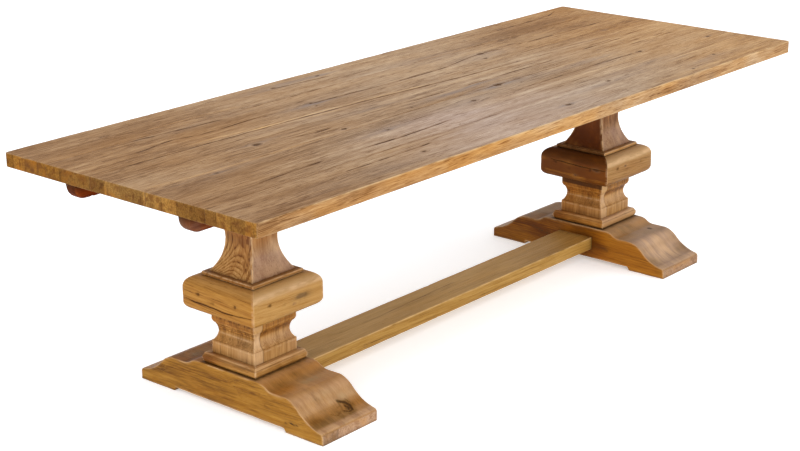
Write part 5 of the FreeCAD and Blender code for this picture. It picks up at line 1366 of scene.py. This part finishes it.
def plate(side, place, low, high):
    s = -1 if side == "left" else 1
    h, r0 = 104.5, 4.0
    xs = run(-h, h, 5.0)
    zs = run(low, high, 3.0, (0.5, 1.2, 2.2, 3.4), (0.5, 1.2, 2.2, 3.4))
    ijk, faces = lattice(len(xs), len(xs), len(zs))
    q = np.stack([xs[ijk[:, 0]], xs[ijk[:, 1]], zs[ijk[:, 2]]], 1)
    lo, hi = np.array([-h, -h, low]), np.array([h, h, high])
    r = r0 * (0.75 + 0.5 * fbm(q / 40, 2, 33))[:, None]
    r = np.minimum(r, (high - low) * 0.45)
    inner = np.clip(q, lo + r, hi - r)
    d = q - inner
    length = np.linalg.norm(d, axis=1, keepdims=True)
    p = inner + d * np.abs(d).max(1, keepdims=True) / np.maximum(length, 1e-9)
    seed = 760 + (s > 0) * 2 + (place == "upper")
    p, normal = roughen(p, faces, 0.4, np.array([30.0, 10.0, 8.0]), seed)
    gap = np.sort(np.stack([h - np.abs(q[:, 0]), h - np.abs(q[:, 1]), np.minimum(q[:, 2] - low, high - q[:, 2])], 1), 1)
    wear_and_sheen = np.exp(-(gap[:, 1] / 3.0) ** 2)
    m = np.maximum(np.abs(q[:, 0]), np.abs(q[:, 1]))
    # painted shade on the top face round where the post stands, and along the lower edge
    grime_and_shade = np.where(normal[:, 2] > 0.4, np.exp(-np.clip(m - 88, 0, None) / 5.0), 0) * 0.8
    grime_and_shade = grime_and_shade + 0.7 * smooth(q[:, 2], low + 3, low)
    gp = grained(q[:, 0], q[:, 1], q[:, 2], (-30, low - 60), seed + 5, (0.02, 0.01), 0.004)
    eg = smooth(np.abs(normal[:, 0]), 0.7, 0.95)
    p[:, 0] += PED * s
    n = len(p)
    tn = toned(n, 0.02, 0.05, 0.0)
    outward = smooth(-normal[:, 0], 0.5, 0.9)
    tn[:, 0] += 0.24 * outward - 0.10 * smooth(-normal[:, 1], 0.5, 0.9)
    tn[:, 1] += 0.70 * outward
    if side == "right":
        # painted shade on the left side of the far plates
        shaded = (p[:, 0] < PED - 96) & (p[:, 1] > -101)
        tn[:, 0] += 0.60 * shaded
        grime_and_shade = grime_and_shade + 0.45 * shaded
        wear_and_sheen = wear_and_sheen * np.where(shaded, 0.35, 1.0)
    # the veil mark: upward faces greyer and paler, partly greying and partly painted sheen
    marks = {
        "gp": gp, "mk": np.zeros((n, 3)), "sf": packed(grime_and_shade, wear_and_sheen, smooth(normal[:, 2], 0.3, 0.9)),
        "tn": tn, "eg": np.stack([eg * 0.2, eg, eg], 1),
    }
    make("%s_%s_square_plate" % (side, place), p, faces, marks, "frame", POST,
         "%s_%s_plate" % (side, place))


# ---------------------------------------------------------------- mitred strips
TURNS = {"right": 0, "back": 90, "left": 180, "front": 270}
NAILS = ((-79, 352), (-19, 338), (71, 348))


def turned(p, turn):
    a = math.radians(turn)
    c, s = round(math.cos(a)), round(math.sin(a))
    return np.stack([p[:, 0] * c - p[:, 1] * s, p[:, 0] * s + p[:, 1] * c, p[:, 2]], 1)


def mitred(b, t, z, rc):
    """Plan of a strip with 45 degree ends. t runs from -1 to 1 along it."""
    across = np.abs(t) * b
    tau = np.clip((across - (b - rc)) / rc, 0, 1)
    th = tau * math.pi / 4
    x = np.where(tau > 0, b - rc + rc * np.cos(th), b)
    y = np.where(tau > 0, b - rc + rc * np.sin(th), across)
    return x, y * np.sign(t)


def base_strip(side, place):
    s = -1 if side == "left" else 1
    line = [(104, 125)] + arc((104, 125), (101.5, 156), 21, 1, 16)[1:]
    line = thicken(soften([(104, 125)] + line[1:], 0.8), 2.4)
    line[:, 0] = np.minimum(line[:, 0], 110.0)
    line = thicken(line, 1.2)
    line[:, 0] -= 1.3 * np.exp(-((line[:, 1] - 148.6) / 1.3) ** 2)
    zs, outer = line[:, 1], line[:, 0]
    depth = run(0, 1, 0.25, (0.1,), (0.03, 0.07, 0.13, 0.22))
    ts = run(-1, 1, 0.045, (0.004, 0.010, 0.018, 0.028, 0.045), (0.004, 0.010, 0.018, 0.028, 0.045))
    ijk, faces = lattice(len(depth), len(ts), len(zs))
    d, t, k = depth[ijk[:, 0]], ts[ijk[:, 1]], ijk[:, 2]
    z = zs[k]
    b = 88 + (outer[k] - 88) * d
    # soften the upper edge
    a1, c1 = pull_round(1.6 - (outer[k] - b), 1.6 - (156 - z), 1.6)
    mv = (1.6 - (outer[k] - b) > 0) & (1.6 - (156 - z) > 0)
    b2 = np.where(mv, outer[k] - (1.6 - a1), b)
    z2 = np.where(mv, 156 - (1.6 - c1), z)
    seed = 800 + (s > 0) * 10 + TURNS[place] // 90
    rc = 2.2 + 2.0 * line_noise(z / 9 + seed, seed)
    x, y = mitred(b2, t * 0.9993, z2, rc)
    p = np.stack([x, y, z2], 1)
    p, normal = roughen(p, faces, 0.5, np.array([9.0, 34.0, 9.0]), seed)
    n = len(x)
    # worn arrises at the mitres, and a lighter line along the upper bead, partly wear and partly painted highlight
    wear_and_sheen = np.exp(-((1 - np.abs(t)) * 104 / 3.2) ** 2) + 0.34 * np.exp(-((153 - z) / 3.4) ** 2) * (d > 0.7)
    # painted shade along the foot of the moulding, on top where the column stands and in the groove
    grime_and_shade = 0.95 * smooth(z, 132, 126) + 0.5 * np.where(z > 154, np.exp(-np.clip(b - 88, 0, None) / 3.0), 0)
    grime_and_shade = grime_and_shade + 0.36 * np.exp(-((z - 148.4) / 1.5) ** 2) * (d > 0.9)
    gp = grained(y, x, z, (150 + 12 * (seed % 7), 60), seed + 3, (0.03, 0.02), 0.003)
    eg = np.zeros(n)
    p = turned(p, TURNS[place])
    world_y = p[:, 1].copy()
    p[:, 0] += PED * s
    value = {"left": 0.18, "front": -0.02, "right": 0.08, "back": 0.05}[place]
    tn = toned(n, value, {"left": 0.15, "front": -0.25}.get(place, 0.1), 0.0)
    # painted highlight along the upper bead
    tn[:, 0] -= 0.18 * np.exp(-((z - 153) / 3.0) ** 2)
    tn[:, 0] += 0.8 * (line_noise(y / 21.0 + z / 40.0, seed + 15) - 0.5) * 0.4
    if side == "right":
        tn[:, 1] += {"left": 0.35, "front": -0.75}.get(place, 0.0)
        tn[:, 0] -= {"front": 0.42}.get(place, 0.0)
    if place == "left":
        # painted shade towards the back of the left-hand strip
        tn[:, 0] += 0.34 * smooth(world_y, 5, 90)
        tn[:, 1] += 0.60 * smooth(world_y, 5, 90)
    # the veil mark: upward faces greyer and paler, partly greying and partly painted sheen
    marks = {
        "gp": gp, "mk": np.zeros((n, 3)), "sf": packed(grime_and_shade, wear_and_sheen, smooth(normal[:, 2], 0.15, 0.85)),
        "tn": tn, "eg": np.stack([eg, eg, eg], 1),
    }
    make("%s_base_strip_%s" % (side, place), p, faces, marks, "frame", POST,
         "%s_base_moulding_%s" % (side, place))


BLOCK_SPLITS = {  # along the strip (its own y) and z, width, depth, reach, lattice row, rows held still below and above
    ("left", "left"): ([(-145, 330), (-134, 330), (-86, 325), (-18, 325), (22, 320), (76, 322), (145, 327)], 2.3, 4.0,
                       (-146, 150), 325.0, 308.0, 333.2),
    ("right", "left"): ([(-145, 361), (-74, 359), (-10, 356), (35, 354), (90, 354), (145, 355)], 2.6, 5.0, (-110, 150),
                        358.0, 342.5, 366.0),
    ("left", "back"): ([(-145, 325), (0, 328), (145, 322)], 1.8, 3.5, (-90, 20), 325.0, 308.0, 333.2),
    ("right", "right"): ([(-145, 326), (0, 322), (145, 325)], 2.0, 4.0, (-30, 110), 325.0, 308.0, 333.2),
}


def facing(side, place):
    s = -1 if side == "left" else 1
    inner, outer, low, high = 99.5, 144.5, 292.0, 395.0
    rl, rt = 25.0, 33.0

    def fan(r):
        return [r - r * math.tan(v) for v in np.linspace(0, math.pi / 4, 9)[::-1]]

    cut = BLOCK_SPLITS.get((side, place))
    also_z = [low + v for v in fan(rl)] + [high - v for v in fan(rt)]
    also_z += [nz + d for _, nz in NAILS for d in (-4.6, -3.2, -2.2, -1.1, 0, 1.1, 2.2, 3.2, 4.6)]
    if cut:
        row, held_low, held_high = cut[4:]
        also_z = [v for v in also_z if abs(v - row) > 4.0]
        also_z += [held_low, row - 3, row - 1, row, row + 1, row + 3, held_high]
    depth = run(inner, outer, 6.0, (1.0,), (0.6, 1.4, 2.5), also=[outer - v for v in fan(rl)] + [outer - v for v in fan(rt)])
    zs = run(low, high, 4.2, (0.6, 1.4, 2.5), (0.6, 1.4, 2.5), also=also_z)
    also_t = [(ny + d) / outer for ny, _ in NAILS for d in (-4.6, -3.2, -2.2, -1.1, 0, 1.1, 2.2, 3.2, 4.6)]
    e = (0.003, 0.007, 0.013, 0.020, 0.030, 0.045)
    ts = run(-1, 1, 0.032, e, e, also=also_t)
    ijk, faces = lattice(len(depth), len(ts), len(zs))
    b, t, v = depth[ijk[:, 0]], ts[ijk[:, 1]], zs[ijk[:, 2]]
    n = len(b)
    seed = 840 + (s > 0) * 10 + TURNS[place] // 90
    z = v.copy()
    crack, sunk = np.zeros(n), np.zeros(n)
    along = t * outer
    if cut:
        line, width, deep, (start, end) = cut[:4]
        zc = np.interp(along, [c[0] for c in line], [c[1] for c in line])
        zc = zc + (line_noise(along / 26.0, seed) - 0.5) * 3 + (line_noise(along / 6.0, seed + 7) - 0.5) * 1.2
        on = smooth(along, start, start + 20) * (1 - smooth(along, end - 20, end))
        wide = np.maximum(on * width * (0.5 + 0.7 * line_noise(along / 20.0, seed + 9)), 0.5)
        z = warp_rows(v, [low, held_low, row - 1, row, row + 1, held_high, high],
                      [np.full(n, low), np.full(n, held_low), zc - wide / 2, zc, zc + wide / 2,
                       np.maximum(zc + 2.5, held_high), np.full(n, high)])
        hit = (np.abs(v - row) < 1e-6) & (b > outer - 0.01)
        sunk = np.where(hit, on * deep * (0.25 + 0.5 * line_noise(along / 22.0, seed + 11)), sunk)
        fade = 0.55 + 0.5 * smooth(line_noise(along / 24.0, seed + 13), 0.25, 0.65) - 0.18 * smooth(along, 0, 120)
        crack = np.maximum(crack, on * fade * (1 - np.clip(np.abs(z - zc) / 6.0, 0, 1)) * (b > outer - 0.01))
    # big rounded edges above and below
    flat_b, flat_z = b.copy(), z.copy()
    a1, c1 = pull_round(rt - (outer - b), rt - (high - z), rt)
    m1 = (rt - (outer - b) > 0) & (rt - (high - z) > 0)
    a2, c2 = pull_round(rl - (outer - b), rl - (z - low), rl)
    m2 = (rl - (outer - b) > 0) & (rl - (z - low) > 0)
    nb = np.where(m1, outer - (rt - a1), np.where(m2, outer - (rl - a2), b))
    nz = np.where(m1, high - (rt - c1), np.where(m2, low + (rl - c2), z))
    rc = 3.0 + 3.4 * line_noise(nz / 21 + seed * 0.37, seed)
    x, y = mitred(nb, t * 0.9994, nz, rc)
    p = np.stack([x, y, nz], 1)
    face_on = flat_b > outer - 0.01
    pits, ring = np.zeros(n), np.zeros(n)
    for k, (ny, nzz) in enumerate(NAILS):
        rho = np.hypot(y - ny, nz - nzz)
        shown = {"left": (1.0, 0.45, 1.0), "front": (0.9, 0.25, 0.2)}.get(place, (0.7, 0.5, 0.6))[k]
        pits = np.maximum(pits, np.where(face_on, 2.3 * np.clip(1 - (rho / 3.3) ** 2, 0, 1), 0))
        ring = np.maximum(ring, np.where(face_on, shown * np.exp(-(np.clip(rho - 2.8, 0, None) / 3.0) ** 2), 0))
    nn = vertex_normals(p, faces)
    p = p - nn * (sunk)[:, None]
    p[:, 0] -= pits
    hold = 1 - np.clip(pits, 0, 1)
    p, normal = roughen(p, faces, 0.7, np.array([20.0, 42.0, 20.0]), seed, hold)
    wear_and_sheen = 0.50 * np.exp(-((1 - np.abs(t)) * outer / 3.0) ** 2)
    # painted shade along the foot and where the plate sits on the top, a little more low down, with grime round the
    # nails
    grime_and_shade = 0.9 * smooth(nz, 296, 292) * (nb < 100) + 0.70 * np.where(nz > 394, np.exp(-np.clip(nb - 104.5, 0, None) / 2.4), 0)
    grime_and_shade = grime_and_shade + 0.95 * ring + 0.22 * smooth(nz, 310, 293)
    if (side, place) == ("right", "left"):
        # painted shade on the upper swell of the far block's left face
        grime_and_shade = grime_and_shade + 0.60 * smooth(nz, 356, 372)
    halo, knot, flow = np.zeros(n), np.zeros(n), nz.copy()
    if (side, place) == ("left", "front"):
        cloud = fbm(np.stack([x / 20, y / 24, nz / 12], 1), 3, 35)
        halo = 1.5 * np.exp(-((y - 50) / 34) ** 2 - ((nz - 347) / 14) ** 2) * smooth(cloud, 0.15, 0.58) * face_on
    spots = {("left", "front"): [(20, 330, 4, 2.0, 0.6)], ("right", "left"): [(96, 352, 7, 2.0, 0.9), (10, 318, 5, 2.0, 0.7)],
             ("right", "front"): [(-30, 352, 4, 1.6, 0.8)], ("left", "back"): [(10, 350, 9, 1.6, 1.0)],
             ("right", "back"): [(40, 340, 8, 1.6, 1.0)]}.get((side, place), [])
    for ky, kz, radius, stretch, strength in spots:
        dy, dz = (y - ky) / stretch, nz - kz
        rho = np.sqrt(dy * dy + dz * dz)
        flow = flow - dz * strength * radius ** 2 * 1.5 / np.maximum(rho, radius * 1.05) ** 2
        knot = np.maximum(knot, strength * np.clip(1 - rho / (2.2 * radius), 0, 1) * face_on)
    shift = {"left": (205, 262), "front": (196, 420), "right": (210, 300), "back": (60, 350)}[place]
    gp = grained(y, x, flow, shift, seed + 3, (0.02, 0.05), 0.005)
    eg = np.zeros(n)
    p = turned(p, TURNS[place])
    p[:, 0] += PED * s
    # the far block's left face is much darker and warmer: painted shade; its front is a little darker and pinker
    value = {"left": 0.15, "front": -0.02, "right": 0.02, "back": 0.0}[place]
    value += {("right", "left"): 0.84, ("right", "front"): 0.17}.get((side, place), 0)
    warm = {"left": 0.34, "front": -0.18}.get(place, 0.2) + {("right", "left"): 0.48, ("right", "front"): -0.82}.get((side, place), 0)
    tn = toned(n, value, warm, 0.0)
    band = line_noise(flow / 7.5 + 3 + y / 160.0, seed + 41) - 0.5
    tn[:, 0] += (0.50 if (side, place) == ("right", "left") else 0.22) * band
    if (side, place) == ("right", "left"):
        # on the far block's left face, painted shade: darker on the upper swell and lighter low down, with a lighter
        # line near the top and darker patches lower
        tn[:, 0] -= 0.30 * np.exp(-((nz - 366) / 5.0) ** 2) * smooth(y, -60, 40)
        tn[:, 0] += 0.20 * smooth(nz, 352, 340) * smooth(line_noise(y / 34.0, 44), 0.35, 0.65)
        tn[:, 0] += 0.04 - 0.52 * smooth(nz, 334, 312) + 0.50 * smooth(nz, 360, 372)
    if (side, place) == ("right", "front"):
        # the far block's front: darker low down and lighter on the upper swell, a painted highlight
        tn[:, 0] += 0.04 + 0.22 * smooth(nz, 326, 306) - 0.54 * smooth(nz, 358, 376)
    if place == "front":
        # painted highlight: a paler, pinker strip of sheen along the upper swell
        sheen_strip = np.exp(-((nz - 378) / 8.0) ** 2) * (0.6 + 0.5 * line_noise(y / 40.0, 43))
        tn[:, 0] -= 0.36 * sheen_strip + 0.06
        tn[:, 1] -= 0.90 * sheen_strip + 0.15
        wear_and_sheen = np.maximum(wear_and_sheen, (0.85 if side == "left" else 1.0) * sheen_strip)
    # painted highlight on the rounding at the top, more on the near block's front
    tn[:, 0] -= (0.10 if (side, place) == ("right", "left") else 0.24) * smooth(nz, 380, 391)
    tn[:, 0] -= 0.25 * smooth(nz, 366, 384) * ((side, place) == ("left", "front"))
    # the veil mark: upward faces, and the upper swell of the far block's front, greyer and paler: partly greying,
    # partly painted sheen
    veil_and_sheen = smooth(normal[:, 2], 0.15, 0.85)
    if (side, place) == ("right", "front"):
        veil_and_sheen = np.maximum(veil_and_sheen, 0.9 * smooth(nz, 362, 374))
    marks = {
        "gp": gp, "mk": np.stack([knot, crack, halo], 1), "sf": packed(grime_and_shade, wear_and_sheen, veil_and_sheen),
        "tn": tn, "eg": np.stack([eg, eg, eg], 1),
    }
    make("%s_block_face_%s" % (side, place), p, faces, marks, "frame", BLOCK,
         "%s_block_facing_%s" % (side, place))


# ---------------------------------------------------------------- stretcher
def stretcher():
    lo, hi = np.array([-764.5, -70.0, 45.0]), np.array([764.5, 70.0, 90.0])
    xs = run(lo[0], hi[0], 6.0, FINE, FINE)
    ys = run(lo[1], hi[1], 5.0)
    zs = run(lo[2], hi[2], 6.0)
    ijk, faces = lattice(len(xs), len(ys), len(zs))
    q = np.stack([xs[ijk[:, 0]], ys[ijk[:, 1]], zs[ijk[:, 2]]], 1)
    n = len(q)
    r = 1.6 + 2.0 * fbm(q / np.array([70.0, 60, 60]), 2, 51)
    r = r + 2.2 * smooth(noise(np.stack([q[:, 0] / 22, q[:, 1] / 60, q[:, 2] / 60], 1), 52), 0.80, 0.95)
    u, w = 70 - np.abs(q[:, 1]), np.minimum(q[:, 2] - 45, 90 - q[:, 2])
    a, b = pull_round(r - u, r - w, r)
    mv = (r - u > 0) & (r - w > 0)
    p = q.copy()
    p[:, 1] = np.where(mv, np.sign(q[:, 1]) * (70 - (r - a)), q[:, 1])
    p[:, 2] = np.where(mv, np.where(q[:, 2] > 67.5, 90 - (r - b), 45 + (r - b)), q[:, 2])
    p, normal = roughen(p, faces, 0.6, np.array([90.0, 22.0, 16.0]), 55)
    wear_and_sheen = np.exp(-(np.maximum(u, w) / 3.2) ** 2)
    # painted shade towards the ends, where the stretcher meets the feet
    grime_and_shade = 0.6 * np.exp(-(763 - np.abs(q[:, 0])) / 7.0)
    knot, flow, crack = np.zeros(n), q[:, 1].copy(), np.zeros(n)
    for kx, ky, radius, stretch, strength in [(-471, -68, 3.2, 1.6, 0.62), (-120, 30, 6, 2, 0.8), (330, -20, 7, 2, 0.9)]:
        dx, dy = (q[:, 0] - kx) / stretch, q[:, 1] - ky
        rho = np.sqrt(dx * dx + dy * dy + ((q[:, 2] - 58) / 2.0) ** 2)
        flow = flow - dy * strength * radius ** 2 * 1.5 / np.maximum(rho, radius * 1.05) ** 2
        knot = np.maximum(knot, strength * np.clip(1 - rho / (2.2 * radius), 0, 1))
    line = np.interp(q[:, 0], [-764, -300, 100, 500, 764], [12, 8, 22, 30, 20]) + (line_noise(q[:, 0] / 40.0, 57) - 0.5) * 5
    on = smooth(q[:, 0], -420, -380) * (1 - smooth(q[:, 0], 60, 120)) * (q[:, 2] > 89.9)
    crack = on * 0.75 * (1 - np.clip(np.abs(q[:, 1] - line) / 6.0, 0, 1))
    gp = grained(q[:, 0], flow, q[:, 2], (14, 22), 56, (0.012, 0.02), 0.008)
    side = np.abs(normal[:, 1])
    tn = toned(n, 0.02, 0.0, 0.0)
    tn[:, 0] -= 0.10 * side + 0.10 * (1 - side)
    tn[:, 1] += 0.05 * (1 - side) - 0.12 * side
    tn[:, 0] += side * 0.16 * smooth(-q[:, 2], -62, -48)
    tn[:, 0] += (1 - side) * (0.22 * smooth(q[:, 0], 250, 740) - 0.05)
    tn[:, 1] += (1 - side) * 0.30 * smooth(q[:, 0], 250, 740)
    # the veil mark: the upward face greyer and paler, partly greying and partly painted sheen
    marks = {
        "gp": gp, "mk": np.stack([knot, crack, np.zeros(n)], 1),
        "sf": packed(grime_and_shade, wear_and_sheen, smooth(normal[:, 2], 0.3, 0.9)), "tn": tn, "eg": np.zeros((n, 3)),
    }
    make("stretcher_board", p, faces, marks, "frame", BOARD, "stretcher")


for i in range(1, 6):
    plank(i)
for side in ("left", "right"):
    foot(side)
    for place in TURNS:
        base_strip(side, place)
    column(side)
    for place in TURNS:
        facing(side, place)
    plate(side, "lower", 395.0, 407.0)
    neck(side)
    plate(side, "upper", 608.0, 622.0)
    for place in ("front", "back"):
        runner(side, place)
stretcher()

# CAD parts that stay, with a better surface
for node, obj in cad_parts.items():
    if obj.hide_render:
        continue
    if node == "block_nails":
        mat = NAIL
    elif node in ("left_tie_rod", "right_tie_rod", "tie_nuts", "tie_washers", "top_screws"):
        mat = STEEL
    elif node in ("locating_dowels", "stretcher_pegs") or node.endswith("_stop_peg"):
        mat = PEG_Z
    else:
        mat = ROUGH_Y
    obj.data.materials.clear()
    obj.data.materials.append(mat)

# ---------------------------------------------------------------- floor, light, camera
def floor_material():
    t = Tree("pale_floor")
    c = t.nt.nodes.new("ShaderNodeTexCoord")
    a = t.noise(c.outputs["Object"], (1.5, 1.5, 1.5), 2, 0.5)
    colour = t.mix(t.span(a, 0.3, 0.7), (0.900, 0.940, 0.985), (0.910, 0.950, 0.995))
    return t.finish(colour, 0.9, Specular_IOR_Level=0.1, Emission_Color=(1.0, 1.0, 1.0, 1.0), Emission_Strength=0.36)


mesh = bpy.data.meshes.new("studio_floor")
mesh.from_pydata([(-40, -40, 0), (40, -40, 0), (40, 40, 0), (-40, 40, 0)], [], [(0, 1, 2, 3)])
mesh.materials.append(floor_material())
floor = bpy.data.objects.new("studio_floor", mesh)
bpy.context.scene.collection.objects.link(floor)

world = bpy.data.worlds.new("studio")
bpy.context.scene.world = world
world.use_nodes = True
world.node_tree.nodes["Background"].inputs[0].default_value = (1.0, 1.0, 1.0, 1.0)
world.node_tree.nodes["Background"].inputs[1].default_value = 0.87


def sun(name, towards, strength, angle, tint=(1, 1, 1)):
    data = bpy.data.lights.new(name, "SUN")
    data.energy = strength
    data.angle = math.radians(angle)
    data.color = tint
    obj = bpy.data.objects.new(name, data)
    bpy.context.scene.collection.objects.link(obj)
    obj.rotation_mode = "QUATERNION"
    obj.rotation_quaternion = Matrix.Translation(towards).to_translation().to_track_quat("-Z", "Y")
    return obj


sun("soft_left", (1.0, 0.35, -0.62), 1.10, 60)
sun("soft_front", (-0.25, 1.0, -0.80), 1.15, 60)

yaw, pitch, roll = 0.7018, -0.32097, -0.00172
fwd = np.array([math.cos(pitch) * math.cos(yaw), math.cos(pitch) * math.sin(yaw), math.sin(pitch)])
right = np.cross(fwd, [0, 0, 1])
right /= np.linalg.norm(right)
up = np.cross(right, fwd)
c, s = math.cos(roll), math.sin(roll)
r, u = c * right + s * up, -s * right + c * up
cam_data = bpy.data.cameras.new("camera")
cam_data.sensor_fit = "HORIZONTAL"
cam_data.sensor_width = 36.0
cam_data.lens = 1754.69 * 36.0 / 800.0
cam_data.clip_end = 200.0
cam = bpy.data.objects.new("camera", cam_data)
bpy.context.scene.collection.objects.link(cam)
cam.matrix_world = Matrix((
    (r[0], u[0], -fwd[0], -4.23922), (r[1], u[1], -fwd[1], -3.39691), (r[2], u[2], -fwd[2], 2.12044), (0, 0, 0, 1)))
bpy.context.scene.camera = cam
bpy.context.scene.view_settings.view_transform = "Standard"
